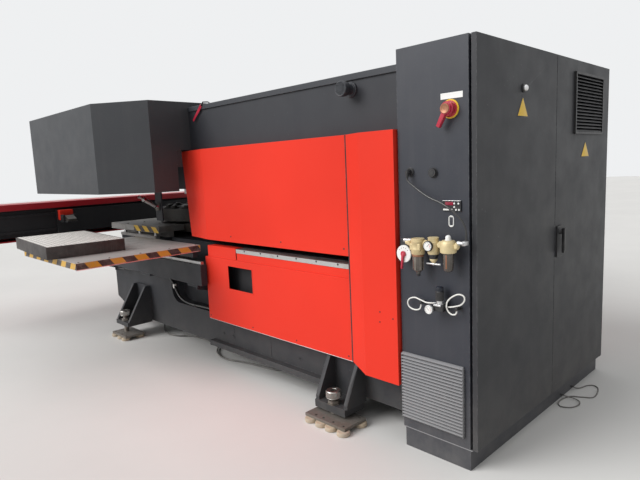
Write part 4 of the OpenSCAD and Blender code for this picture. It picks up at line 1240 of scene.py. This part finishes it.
    def valve(self) -> None:
        """Builds the shut-off valve with its white rose and red lever."""
        d, z = self.valve_d, self.valve_z
        body = Piece.slab("valve_body", (FLANK, FLANK + 41), (382, 438), (1125, 1240))
        body.inset(facing(UP), 8.0, -3.0).soften(6.0, 3).finish(BLACK)
        wall = at(FLANK + 41, d, z)
        Piece.turned("valve_rose", wall, OUT, [(0, 48), (6, 48), (8.5, 46), (8.8, 40), (8.8, 17)],
                     44).finish(WHITE)
        turns = (-0.9, -0.45, 0.0, 0.45, 0.9)
        marks = [wall + Vector((0.0088, 0.034 * math.sin(a), 0.034 * math.cos(a))) for a in turns]
        mark = Piece.turned("valve_marks", marks[0], OUT, [(-0.5, 2.2), (0.5, 2.2), (0.7, 1.6)], 8)
        mark.repeat(spots(marks)).finish(BLACK)
        Piece.turned("valve_boss", wall, OUT, [(9, 16), (16, 16), (19, 13), (19, 8)],
                     28).finish(RED_PLASTIC, Body.VALVE, "valve_lever")
        lever = Piece.hanging("valve_grip", (FLANK + 51, FLANK + 61), 8.5, (-84, 4))
        lever.squeeze(facing(DOWN), (1.0, 0.62, 1.0), Vector((FLANK * MM, 0, 0)))
        lever.inset(facing(OUT), 2.5, 1.2).soften(2.0, 2)
        lever.swing(math.radians(self.lever_angle), Vector((0, wall.y, wall.z)))
        lever.finish(RED_PLASTIC, Body.VALVE)


@dataclass
class FineRegulator:
    """The small regulator that the two white hoses belong to."""

    x: float = 988.0
    d: float = 186.0

    def make(self) -> None:
        """Builds its block, sleeve, cap, hose fittings and gauge."""
        x, d = self.x, self.d
        block = Piece.slab("fine_block", (FLANK, x + 20), (157, 224), (869, 905))
        block.inset(facing(OUT), 6.0, -2.5).soften(2.5, 2)
        block.finish(BLACK, replaces="fine_regulator")
        band = Piece.slab("fine_band", (FLANK + 8, x + 22), (168, 212), (896, 906))
        band.inset(facing(UP), 4, 1.0).soften(2.0).finish(ZINC)
        Piece.turned("fine_neck", at(x, d, 904), UP, [(0, 22), (6, 22), (8, 17), (22, 17)], 28).finish(ZINC)
        sleeve = Piece.turned("fine_sleeve", at(x, d, 925), UP,
                              [(0, 19), (3, 22), (48, 22), (51, 20), (51, 12)], 28)
        sleeve.inset(lambda c, n: abs(n.z) < 0.3 and 0.930 < c.z < 0.972, 0.9, -0.9, single=True)
        sleeve.finish(BLACK)
        cap = Piece.turned("fine_cap", at(x, d, 977), UP,
                           [(0, 20), (2, 21), (18, 21), (22, 18), (24, 12)], 28)
        cap.inset(lambda c, n: abs(n.z) < 0.3 and c.z > 0.980, 0.8, -0.8, single=True)
        cap.finish(BLUE, Body.KNOB, "fine_regulator_knob")
        for name, dd, z, aim in (("fine_port_left", 222, 900, FRONT), ("fine_port_right", 159, 893, BACK)):
            place = at(FLANK + 30, dd, z)
            Piece.turned(name, place, aim, [(-6, 8), (2, 8), (3, 6.5), (6, 6.5), (7, 4.6)], 16).finish(ZINC)
        Gauge("fine_gauge", x + 22, 233, 876, 25, ZINC, 0.9).make()
        Piece.turned("gauge_stem", at(x + 8, 222, 882), FRONT, [(-4, 7), (8, 7), (12, 5)], 16).finish(ZINC)


@dataclass
class Doors:
    """Lamp, bare triangle plates and handle of the cabinet's doors."""

    lamp_x: float = 433.0
    lamp_z: float = 2023.0
    handle_x: float = -80.0
    handle_z: float = 1180.0

    def make(self) -> None:
        """Builds the lamp, the triangles and the handle."""
        place = at(self.lamp_x, 0, self.lamp_z)
        Piece.turned("lamp_base", place, BACK, [(0, 24), (5, 24), (7, 22), (10, 20), (10, 16)],
                     32).finish(BLACK, Body.DOOR_RIGHT)
        Piece.turned("lamp_dome", place, BACK, [(9, 18), (14, 18), (18, 16.5), (22, 13), (25, 8), (26, 3)],
                     32).finish(ALUMINIUM, Body.DOOR_RIGHT)
        self.triangle("plate_right", 441, 1868, 142, 116, Body.DOOR_RIGHT)
        self.triangle("plate_left", -496, 1635, 156, 112, Body.DOOR_LEFT)
        self.handle()

    def triangle(self, name: str, x: float, z: float, width: float, height: float, body: Body) -> None:
        """Builds a bare yellow triangle plate on a dark border."""
        for part, grow, out, finish in (("border", 1.0, 1.2, BLACK), ("face", 0.84, 2.0, YELLOW)):
            Piece.start()
            bpy.ops.mesh.primitive_circle_add(vertices=3, radius=1.0, fill_type="NGON", location=(0, 0, 0))
            sheet = Piece(f"{name}_{part}")
            reach = max(v.co.y for v in sheet.obj.data.vertices)
            low = min(v.co.y for v in sheet.obj.data.vertices)
            wide = max(v.co.x for v in sheet.obj.data.vertices)
            size = (width * grow * MM / (2 * wide), height * grow * MM / (reach - low), 1.0, 1.0)
            sheet.place(Matrix.Diagonal(size))
            base = min(v.co.y for v in sheet.obj.data.vertices)
            lift = z * MM + height * (1.0 - grow) * 0.33 * MM - base
            foot = Vector((x * MM, DOOR_Y - 0.0002, lift))
            sheet.place(Matrix.Translation(foot) @ Matrix.Rotation(math.radians(90), 4, "X"))
            sheet.draw_out(everywhere, Vector((0, out * MM, 0)))
            sheet.soften(1.5, 2, 50).finish(finish, body)

    def handle(self) -> None:
        """Builds the swing handle with its boss and its plate."""
        x = self.handle_x
        boss = at(x, 6, self.handle_z)
        Piece.turned("handle_boss", boss, BACK, [(0, 20), (14, 20), (16, 18), (30, 15), (46, 14), (49, 12)],
                     28).finish(BLACK, Body.DOOR_HANDLE, "door_handle")
        grip = Piece.slab("handle_grip", (x - 17, x + 17), (-45, -25), (1060, 1202))
        grip.draw_out(facing(DOWN), Vector((0, -0.003, -0.016)), (0.8, 0.7, 1.0), at(x, -35, 1044))
        grip.inset(facing(BACK), 5.0, -1.5).soften(4.0, 3)
        grip.finish(BLACK, Body.DOOR_HANDLE)
        plate = Piece.slab("handle_plate", (x - 42, x + 42), (-9.5, 0.5), (1018, 1215))
        plate.inset(facing(BACK), 7.0, -2.0).soften(2.0, 2)
        plate.finish(BLACK, Body.DOOR_LEFT)


@dataclass
class Feet:
    """Lock nuts, bolt heads, shanks and rubber discs of the levelling feet."""

    rear: tuple[float, float] = (985.0, 1005.0)
    front: tuple[float, float] = (1050.0, 3926.0)
    rear_discs: Sequence[tuple[float, float]] = ((1100, 818), (1100, 921), (1100, 1008), (1100, 1103),
                                                 (942, 818), (942, 1103))
    front_discs: Sequence[tuple[float, float]] = ((1128, 3785), (1128, 3880), (1128, 4008),
                                                  (980, 3785), (980, 4008))

    def make(self) -> None:
        """Builds the nuts, the bolt heads, the shanks and the discs on both sides."""
        nuts = [at(*self.rear, 112), at(*self.front, 162)]
        nut = Piece.turned("foot_nuts", nuts[0], UP,
                           [(0, 44), (4, 44), (4, 36), (6, 40), (22, 40), (24, 36), (24, 25)], 6)
        nut.repeat(spots(nuts)).both_sides().finish(WORN_STEEL)
        heads = [at(*self.rear, 155), at(*self.front, 220)]
        head = Piece.turned("foot_bolt_heads", heads[0], UP,
                            [(0, 46), (2, 50), (43, 50), (48, 46), (48, 24), (46, 22), (22, 21)], 48)
        head.inset(lambda c, n: abs(n.z) < 0.2 and 0.160 < c.z < 0.195, 1.6, -1.4, single=True)
        head.repeat(spots(heads)).both_sides().finish(BRIGHT_STEEL)
        self.shank("rear_shanks", self.rear, 108, "jack_bolts")
        self.shank("front_shanks", self.front, 173)
        places = [at(x, d, 0) for x, d in (*self.rear_discs, *self.front_discs)]
        disc = Piece.turned("foot_discs", places[0], UP,
                            [(0, 38), (3, 42), (12, 42.5), (24, 42), (28, 39), (28, 20)], 36)
        disc.repeat(spots(places)).both_sides().finish(FOOT_RUBBER, replaces="pad_discs")

    def shank(self, name: str, place: tuple[float, float], top: int, replaces: str = "") -> None:
        """Builds the threaded shanks of one pair of feet.

        Args:
            name: The name of the pair.
            place: Their place across and along the machine in millimetres.
            top: Their length in millimetres.
            replaces: The CAD node that the pair stands for, if any.
        """
        rings: list[Span] = [(0, 23.0)]
        for k in range(top // 6):
            rings += [(1 + 6 * k, 23.8), (4 + 6 * k, 21.2)]
        rings.append((top, 22.0))
        bolt = Piece.turned(name, at(*place, 47), UP, rings, 24)
        bolt.both_sides().finish(WORN_STEEL, replaces=replaces)


@dataclass
class Louvre:
    """The air louvre low on the cabinet's flank."""

    out: float = 21.5
    d: Span = (70.0, 466.0)
    z: Span = (180.0, 575.0)
    pitch: float = 18.5
    count: int = 20

    def make(self) -> None:
        """Builds the dark back, the bevelled cap, the blades, their ends and the foot."""
        x, out, d, z = FLANK, self.out, self.d, self.z
        back = Piece.slab("louvre_back", (x - 0.5, x + 1.5), d, z)
        back.inset(facing(OUT), 3.0, 0.5).finish(BLACK, replaces="flank_louvre")
        cap = Piece.slab("louvre_cap", (x, x + out), d, (z[1] - 8, z[1]))
        cap.draw_out(facing(DOWN), Vector((0, 0, -0.006)), (0.9, 1.0, 1.0), at(x, 0, z[1]))
        cap.squeeze(facing(UP), (0.35, 0.985, 1.0), at(x, sum(d) / 2, z[1]))
        cap.soften(1.0, 2).finish(LOUVRE_GREY)
        first = z[0] + 14
        blade = Piece.slab("louvre_blades", (x + 1, x + out - 1), (d[0] + 1.5, d[1] - 1.5),
                           (first + 9, first + 11))
        blade.shift(lambda c, n: n.x > 0.9, Vector((0, 0, -0.009)))
        blade.draw_out(lambda c, n: n.x > 0.9, Vector((0.0008, 0, -0.0035)))
        blade.soften(0.5, 2, 50)
        blade.repeat(row(Vector((0, 0, self.pitch * MM)), self.count)).finish(LOUVRE_GREY)
        ends = Piece.slab("louvre_ends", (x, x + out - 2.5), (d[0], d[0] + 1.5), (z[0], z[1] - 12))
        ends.inset(facing(BACK), 3.0, -0.4)
        ends.repeat([Matrix.Translation(Vector((0, -(d[1] - d[0] - 1.5) * MM, 0)))]).finish(LOUVRE_GREY)
        foot = Piece.slab("louvre_foot", (x, x + out - 2), d, (z[0], z[0] + 6))
        foot.squeeze(facing(DOWN), (0.4, 1.0, 1.0), at(x, sum(d) / 2, z[0]))
        foot.soften(0.8).finish(LOUVRE_GREY)


@dataclass
class RedPanels:
    """Screws, near-black strips of painted shade at seams and gaps, bright strips of painted highlight
    along the lower edges of the red sheets, and a lighter strip on the plinth's edge, on the sides of the
    machine.
    """

    face_x: float = 905.0
    low_z: float = 425.0
    edge_z: Span = (395.5, 399.5)
    window_d: Span = (1909.0, 2241.0)
    window_z: Span = (688.0, 893.0)

    def make(self) -> None:
        """Builds the fasteners, the strips of painted highlight and painted shade, and the plinth strip on
        both sides.
        """
        x = self.face_x
        low = [at(x, d, self.low_z) for d in (931, 1435, 1944, 2531)]
        screws("lower_panel_screws", low, OUT, 4.5, BLACK, Body.BASE, True)
        high = [at(x + 2, d, 1128) for d in (938, 1550, 2160)]
        screws("upper_panel_screws", high, OUT, 4.5, BLACK, Body.BASE, True)
        edge = [at(968.5, d, z) for d, z in ((609, 788), (611, 727), (514, 762))]
        screws("pilaster_screws", edge, OUT, 3.6, BLACK, Body.BASE, True)
        angle = [at(903, d, 1022) for d in range(1000, 2001, 200)]
        screws("angle_screws", angle, OUT, 5.0, BLACK, Body.BASE, True)
        # Bright strip along the lower panel's bottom edge: painted highlight of the edge
        edge_highlight = Piece.slab("lower_panel_highlight", (x - 5, x + 1.2), (896, 2552), self.edge_z)
        edge_highlight.inset(facing(DOWN), 1.5, -1.0).soften(0.8).both_sides().finish(ALUMINIUM)
        # A near-black strip over the joint of the lower panel and the pilaster: painted shade of the gap
        # between them
        gap_shade = Piece.slab("panel_gap_shade", (x - 4, x + 3.4), (886, 899), (400, 1830))
        gap_shade.inset(facing(OUT), 1.2, -0.5).both_sides().finish(INNER_SHADE)
        # Bright strip along the pilaster's bottom edge: painted highlight of the edge
        facet = Piece.slab("pilaster_highlight", (x, 968.3), (500, 734), self.edge_z)
        facet.inset(facing(DOWN), 1.5, -1.0).soften(0.8).both_sides().finish(ALUMINIUM)
        base = Piece.slab("plinth_edge", (938, 944.2), (24, 470), (117, 122))
        base.inset(facing(OUT), 1.2, -0.6).soften(0.8).both_sides().finish(LOUVRE_GREY)
        self.window()
        self.seams()

    def window(self) -> None:
        """Builds the red rim of the window and the near-black sheet behind it, painted shade of the recess
        that the window looks into.
        """
        rim = Piece.slab("window_rim", (self.face_x - 5.5, self.face_x + 1.5), self.window_d, self.window_z)
        rim.inset(lambda c, n: abs(n.x) > 0.9, 9.0)
        rim.pick(lambda c, n: abs(n.x) > 0.9 and 0.70 < c.z < 0.88 and abs(DOOR_Y - c.y - 2.075) < 0.02)
        bpy.ops.mesh.bridge_edge_loops()
        bpy.ops.object.mode_set(mode="OBJECT")
        rim.soften(0.8).both_sides().finish(RED)
        # A near-black sheet on the frame behind the window: painted shade of the recess behind the rim
        back = Piece.slab("window_shade_sheet", (FRAME_SIDE - 0.5, FRAME_SIDE + 1.5), (1880, 2270), (660, 915))
        back.inset(facing(OUT), 6.0, -0.8).both_sides().finish(INNER_SHADE)

    def seams(self) -> None:
        """Builds the near-black strips and discs that are painted shade of the frame's seams, slots and
        holes, and the clips and glands of the arm's cable.
        """
        # Near-black strips and discs stand in for the frame's seams, slots and holes: painted shade of the
        # grooves and openings
        seam = Piece.slab("frame_seam_shades", (FRAME_SIDE - 1, FRAME_SIDE + 1.2), (1831, 1837), (180, 396))
        seam.soften(0.8).both_sides().finish(INNER_SHADE)
        slot = Piece.slab("frame_slot_shades", (FRAME_SIDE - 1, FRAME_SIDE + 1), (2316, 2326), (238, 352))
        slot.soften(0.8).both_sides().finish(INNER_SHADE)
        holes = [at(FRAME_SIDE, d, z) for d, z in ((2474, 254), (2344, 257), (1500, 250), (1250, 250))]
        hole = Piece.turned("frame_hole_shades", holes[0], OUT,
                            [(-1, 13), (1.5, 13), (2.5, 11.5), (2.5, 9), (1.0, 8)], 20)
        hole.repeat(spots(holes)).both_sides().finish(INNER_SHADE)
        clip = Piece.slab("cable_clip", (FRAME_SIDE - 1, FRAME_SIDE + 26), (3241, 3263), (553, 592))
        clip.inset(facing(OUT), 4.0, -1.0).soften(2.5, 3).finish(WHITE)
        places = [at(FRAME_SIDE + 1, d, z) for d, z in ((3600, 651), (3960, 645), (4320, 630), (2900, 440))]
        saddle = Piece.slab("cable_saddles", (FRAME_SIDE - 1, FRAME_SIDE + 25.5), (3592, 3608), (637, 664))
        saddle.inset(facing(OUT), 4.0, -1.0).soften(2.5, 3)
        saddle.repeat(spots(places)).finish(BLACK)
        arm_gland = Piece.turned("arm_gland", at(836, 4501, 622), BACK,
                                 [(-2, 20), (4, 20), (6, 18), (18, 17), (24, 14), (26, 11.6)], 20)
        arm_gland.finish(BLACK)
        panel_gland = Piece.turned("panel_gland", at(836, 2555, 447), FRONT,
                                   [(-2, 20), (4, 20), (6, 18), (16, 17), (20, 12)], 20)
        panel_gland.finish(BLACK)


@dataclass
class Lid:
    """The lifting spools under the lid and the strap on its edge."""

    spool_d: float = 905.0
    spool_z: float = 2105.0
    strap_angle: float = -50.0

    def make(self) -> None:
        """Builds the spools on both sides and the strap."""
        wall = at(FRAME_SIDE, self.spool_d, self.spool_z)
        spool = Piece.turned("lifting_spools", wall, OUT,
                             [(-1, 47), (10, 47), (13, 44), (13, 34), (17, 31), (64, 31), (68, 34),
                              (68, 42), (71, 46), (97, 46), (101, 42), (101, 20)], 48)
        spool.inset(lambda c, n: n.x > 0.95 and c.x > (FRAME_SIDE + 100.5) * MM, 4.0, -1.0)
        spool.both_sides().finish(CHARCOAL)
        self.strap()

    def strap(self) -> None:
        """Builds the short strap that hangs over the lid's edge by its hook."""
        bends = [at(806, 2468, 2195), at(812, 2500, 2214), at(836, 2536, 2216), at(841, 2560, 2188)]
        bent_rod("strap_hook", bends, 5.0).finish(BLACK)
        band = Piece.hanging("strap_band", (-2, 2), 15, (-178, 0))
        band.squeeze(facing(DOWN), (1.0, 0.7, 1.0), Vector((0, 0, 0)))
        band.inset(facing(OUT), 3.0, -0.6).soften(1.2, 2)
        band.swing(math.radians(self.strap_angle), at(838.5, 2562, 2192)).finish(RED_PLASTIC)


@dataclass
class GuardCylinder:
    """The gas cylinder between the upper arm and the guard."""

    place: Point = (872.0, 3400.0, 1333.0)
    angle: float = 32.0
    bracket_d: Span = (3340.0, 3460.0)
    bracket_top: float = 1570.0

    def make(self) -> None:
        """Builds the bright tube, its bands, its red ports and its bracket."""
        tilt = math.radians(90.0 - self.angle)
        aim = Vector((math.sin(tilt), 0.0, math.cos(tilt)))
        start = at(*self.place)
        tube = [(0, 18), (3, 22), (14, 22), (15, 19.5), (144, 19.5), (145, 22), (157, 22), (160, 19),
                (160, 11), (16, 11)]
        Piece.turned("guard_tube", start, aim, tube, 32).finish(ALUMINIUM, replaces="guard_cylinder")
        for name, low in (("guard_band_low", 13.0), ("guard_band_high", 138.0)):
            self.band(name, start + aim * low * MM, aim)
        ports = [start + aim * 0.010 + Vector((0, 0.020, 0)), start + aim * 0.150 + Vector((0, 0.020, 0))]
        port = Piece.turned("guard_ports", ports[0], BACK, [(0, 7), (6, 7), (7, 9), (16, 9), (18, 7)], 16)
        port.repeat(spots(ports)).finish(RED_PLASTIC)
        post = Piece.slab("guard_bracket", (840, 856), self.bracket_d, (1200, self.bracket_top))
        post.inset(facing(OUT), 6.0, -1.5).soften(2.0).finish(CHARCOAL)
        foot = Piece.slab("guard_bracket_foot", (FRAME_SIDE, FRAME_SIDE + 18), self.bracket_d,
                          (self.bracket_top - 60, self.bracket_top))
        foot.soften(2.0).finish(CHARCOAL)
        clevis = Piece.slab("guard_clevis", (855, 878), (3374, 3426), (1300, 1366))
        clevis.inset(facing(FRONT), 8.0, -3.0).soften(4.0).finish(WORN_STEEL)
        Piece.turned("guard_rod_eye", start + aim * 0.193, aim,
                     [(0, 9), (2, 13), (12, 14), (14, 11), (14, 6)], 24).finish(ZINC, Body.GUARD_ROD)

    def band(self, name: str, start: Vector, aim: Vector) -> None:
        """Builds a round band about the tube, open in the middle for the rod.

        Args:
            name: The band's name.
            start: Where it starts on the tube's axis, in metres.
            aim: The direction of the axis.
        """
        hole = 19.4
        rings = [(0, hole), (0, 21), (1, 22.4), (7, 22.4), (8, 21), (8, hole), (0, hole)]
        ring = Piece.turned(name, start, aim, rings, 32)
        ring.pick(lambda centre, normal: (centre - start).length < MM)
        bpy.ops.mesh.delete(type="FACE")
        bpy.ops.mesh.select_all(action="SELECT")
        bpy.ops.mesh.remove_doubles(threshold=0.01 * MM)
        bpy.ops.object.mode_set(mode="OBJECT")
        ring.finish(BLACK)


@dataclass
class Tables:
    """Edge tape, screws and the brush block of the sheet tables."""

    inner_x: float = 915.0
    outer_x: float = 1950.0
    rear_d: float = 2610.0
    front_d: float = 3810.0
    top_z: float = 1030.0
    tape_z: Span = (982.0, 1028.0)
    brush_x: Span = (1390.0, 1990.0)
    brush_d: Span = (2955.0, 3995.0)
    brush_turn: float = -4.0

    def make(self) -> None:
        """Builds tape, table screws, the brush block and the steel strips."""
        inner, outer = self.inner_x + 2, self.outer_x - 1
        for name, across, finish in (("edge_tape_right", (inner, outer), EDGE_TAPE),
                                     ("edge_tape_left_side", (-outer, -inner), EDGE_TAPE_LEFT)):
            rear = Piece.slab(name, across, (self.rear_d - 0.9, self.rear_d), self.tape_z)
            rear.inset(facing(BACK), 0.6, -0.2).finish(finish, Body.CARRIAGE)
        end = Piece.slab("end_tape_strips", (self.outer_x, self.outer_x + 0.9),
                         (self.rear_d + 1, self.front_d - 1), self.tape_z)
        end.inset(facing(OUT), 0.6, -0.2).both_sides().finish(END_TAPE, Body.CARRIAGE)
        lip = Piece.slab("table_lip", (self.inner_x + 1, self.outer_x - 1),
                         (self.rear_d - 1.5, self.rear_d + 2), (976, 981.5))
        lip.inset(facing(BACK), 1.0, -0.4).soften(0.6).both_sides().finish(ALUMINIUM, Body.CARRIAGE)
        heads = [at(x, d, self.top_z) for x in (945, 1190, 1440, 1690, 1920) for d in (2640, 3780)]
        screws("table_screws", heads, UP, 7.0, WORN_STEEL, Body.CARRIAGE, True)
        self.brush()
        self.centre()

    def brush(self) -> None:
        """Builds the dark block and the pale bristle field on it."""
        across, along = self.brush_x, self.brush_d
        centre = at(sum(across) / 2, sum(along) / 2, 0)
        spin = Matrix.Rotation(math.radians(self.brush_turn), 4, "Z")
        turn = Matrix.Translation(centre) @ spin @ Matrix.Translation(-centre)
        block = Piece.slab("brush_frame", across, along, (self.top_z + 0.2, 1130))
        block.inset(facing(UP), 7.0)
        block.inset(lambda c, n: n.z > 0.9 and abs(c.x - centre.x) < 0.01, 0.1, -5.0)
        block.soften(1.5, 2).place(turn).finish(BRUSH_SIDE, Body.CARRIAGE, "brush_block")
        field = Piece.slab("brush_bristles", (across[0] + 8, across[1] - 8),
                           (along[0] + 8, along[1] - 8), (1120, 1129))
        field.inset(facing(UP), 3.0, 0.6)
        field.place(turn).finish(BRISTLES, Body.CARRIAGE)

    def centre(self) -> None:
        """Builds the tape, the steel bars on their posts and the screws of the centre table."""
        tape = Piece.slab("centre_tape", (822.8, 823.9), (3490, 4034), (1067, 1124))
        tape.inset(facing(OUT), 0.6, -0.2).both_sides().finish(TABLE_TAPE)
        bar = Piece.slab("centre_bar", (786, 838), (3555, 4330), (1008, 1036))
        bar.inset(facing(OUT), 4.0, -1.0).soften(1.5).both_sides().finish(SLAB_STEEL)
        spacers = [at(806, d, 1036) for d in (3600, 3940, 4280)]
        post = Piece.turned("centre_posts", spacers[0], UP, [(0, 16), (2, 14), (27, 14), (29, 16)], 20)
        post.repeat(spots(spacers)).both_sides().finish(ZINC)
        heads = [at(x, d, 1125) for x in (-790, -600, 600, 790) for d in (3560, 3900, 4240, 4560)]
        screws("centre_screws", heads, UP, 9.0, WORN_STEEL, Body.BASE)


@dataclass
class Reliefs:
    """Tapered reliefs where the floor cables leave the machine."""

    radius: float = 7.0

    def make(self) -> None:
        """Builds one relief for each end of each floor cable."""
        r = self.radius
        ends = [at(670, 3840, 136), at(670, 1900, 136)]
        rings = [(-2, 15), (5, 15), (6, r + 5), (12, r + 5), (13, r + 3.5), (34, r + 0.8), (35, r + 0.3)]
        large = Piece.turned("side_reliefs", ends[0], DOWN, rings, 24)
        large.repeat(spots(ends)).finish(BLACK)
        ends = [at(-442, 40, 22), at(-262, 40, 22)]
        small = Piece.turned("cabinet_reliefs", ends[0], BACK,
                             [(-2, 9), (4, 9), (5, 7), (22, 4.8), (23, 4.3)], 20)
        small.repeat(spots(ends)).finish(BLACK)


# Stage


@dataclass
class Stage:
    """Floor, light and the camera at the photograph's place."""

    camera_place: Point = (3.3315, 4.238, 1.647)
    yaw: float = 3.9135
    pitch: float = -0.1363
    roll: float = -0.0431
    lens: float = 30.03
    floor_half: float = 40.0
    floor_color: Color = (0.70, 0.69, 0.67)
    sky_color: Color = (0.83, 0.84, 0.85)
    sky_strength: float = 0.42
    seen_color: Color = (0.86, 0.87, 0.88)
    roof_from: Point = (0.1, 0.1, 1.0)
    side_from: Point = (0.72, -0.42, 0.56)

    def camera(self) -> None:
        """Puts the camera where the photograph was taken from."""
        look = Vector((math.sin(self.yaw) * math.cos(self.pitch), math.cos(self.yaw) * math.cos(self.pitch),
                       math.sin(self.pitch)))
        right = look.cross(UP).normalized()
        up = right.cross(look)
        c, s = math.cos(self.roll), math.sin(self.roll)
        turned_right = c * right + s * up
        turned_up = -s * right + c * up
        data = bpy.data.cameras.new("photo_camera")
        data.lens = self.lens
        data.sensor_width = 36.0
        data.clip_end = 200.0
        camera = bpy.data.objects.new("photo_camera", data)
        bpy.context.scene.collection.objects.link(camera)
        turn = Matrix((turned_right, turned_up, -look)).transposed().to_4x4()
        camera.matrix_world = Matrix.Translation(Vector(self.camera_place)) @ turn
        bpy.context.scene.camera = camera

    def floor(self) -> None:
        """Lays the plain pale floor."""
        bpy.ops.mesh.primitive_plane_add(size=2 * self.floor_half, location=(0, 0, 0))
        floor = bpy.context.object
        floor.name = "floor"
        material, g, shader = blank_material("floor_paint")
        tone = g.span(g.noise(g.place(), 0.6, 5.0, 0.6), 0.3, 0.7)
        darker = tuple(c * 0.94 for c in self.floor_color)
        g.feed(g.mix(tone, darker, self.floor_color), shader.inputs["Base Color"])
        shader.inputs["Roughness"].default_value = 0.75
        floor.data.materials.append(material)

    def lamp(self, name: str, source: Point, spread: float, power: float) -> None:
        """Adds one soft, even lamp that shines from a direction.

        Args:
            name: The lamp's name.
            source: The direction that the light comes from.
            spread: How wide the source looks, in degrees, for soft shadows.
            power: Its strength in watts per square metre.
        """
        data = bpy.data.lights.new(name, "SUN")
        data.angle = math.radians(spread)
        data.energy = power
        lamp = bpy.data.objects.new(name, data)
        bpy.context.scene.collection.objects.link(lamp)
        lamp.rotation_euler = (-Vector(source)).to_track_quat("-Z", "Y").to_euler()

    def light(self) -> None:
        """Lights the machine as under a bright hall roof."""
        world = bpy.data.worlds.new("studio")
        bpy.context.scene.world = world
        world.use_nodes = True
        g = Graph(world.node_tree)
        sky = world.node_tree.nodes["Background"]
        sky.inputs["Color"].default_value = (*self.sky_color, 1.0)
        sky.inputs["Strength"].default_value = self.sky_strength
        seen = g.node("ShaderNodeBackground")
        seen.inputs["Color"].default_value = (*self.seen_color, 1.0)
        seen.inputs["Strength"].default_value = 1.0
        path = g.node("ShaderNodeLightPath")
        blend = g.node("ShaderNodeMixShader")
        rays = g.math("MAXIMUM", path.outputs["Is Camera Ray"], path.outputs["Is Glossy Ray"])
        g.feed(g.math("MAXIMUM", rays, path.outputs["Is Transmission Ray"]), blend.inputs[0])
        g.feed(sky.outputs[0], blend.inputs[1])
        g.feed(seen.outputs[0], blend.inputs[2])
        g.feed(blend.outputs[0], world.node_tree.nodes["World Output"].inputs[0])
        self.lamp("roof_lamp", self.roof_from, 70.0, 0.7)
        self.lamp("side_lamp", self.side_from, 40.0, 2.7)

    def set_up(self) -> None:
        """Sets up camera, floor, light and the colour transform."""
        bpy.context.scene.view_settings.view_transform = "Standard"
        self.camera()
        self.floor()
        self.light()


COATS: dict[Finish, Sequence[str]] = {
    CHARCOAL: ("top_lid",),
    FRAME_GREY: ("frame_sides", "frame_base", "foot_brackets", "rail_beams", "carriage_arms"),
    # The head and the inner parts take the near-black paint as painted shade
    INNER_SHADE: ("frame_head", "x_beam", "cross_slide", "clamps", "ram_cylinder", "bearing_housings",
                 "turret_gearmotors"),
    HOOD_GREY: ("hood",),
    CABINET_GREY: ("cabinet_shell",),
    DOOR_GREY: ("door_right", "door_left"),
    RED: ("upper_panels", "lower_panels", "pilasters", "slot_strips", "clamp_covers"),
    BEAM_RED: ("beam_cover",),
    STEEL: ("dies", "active_punch", "ram", "guide_rails"),
    DARK_STEEL: ("lower_turret", "upper_turret", "tool_holders", "jaw_1", "jaw_2"),
    BRIGHT_STEEL: ("jack_bolts",),
    WORN_STEEL: ("floor_pads",),
    TABLE_STEEL: ("side_table_right", "side_table_left"),
    SLAB_STEEL: ("centre_table",),
    FOOT_RUBBER: ("pad_discs",),
    WORN_ALUMINIUM: ("slot_angles",),
    ALUMINIUM: ("guard_cylinder",),
    BRUSH_SIDE: ("brush_block",),
    LOUVRE_GREY: ("flank_louvre",),
    BLACK: ("door_vent", "door_handle", "flank_fittings"),
    ZINC: ("cabinet_equipment", "guard_rod", "regulator_screw"),
    YELLOW: ("switch_base",),
    RED_PLASTIC: ("switch_handle", "valve_lever"),
    BRASS: ("air_unit", "fine_regulator"),
    BLUE: ("fine_regulator_knob",),
}

# The coats on folded sheet, and the radius of its edges in metres
SHEET_EDGE = 0.002
ROUNDED = (CHARCOAL, FRAME_GREY, HOOD_GREY, CABINET_GREY, DOOR_GREY, RED, BEAM_RED)


def main() -> None:
    """Builds the scene in order."""
    logging.basicConfig(level=logging.INFO, format="%(name)s: %(message)s")
    Stage().set_up()
    make_cords()
    for finish, nodes in COATS.items():
        for node in nodes:
            dress(node, finish, SHEET_EDGE if finish in ROUNDED else 0.0)
    for assembly in (MainSwitch(), FlankFittings(), AirUnit(), FineRegulator(), Louvre(), Doors(), Feet(),
                     RedPanels(), Lid(), GuardCylinder(), Tables(), Reliefs()):
        assembly.make()


if __name__ == "__main__":
    main()
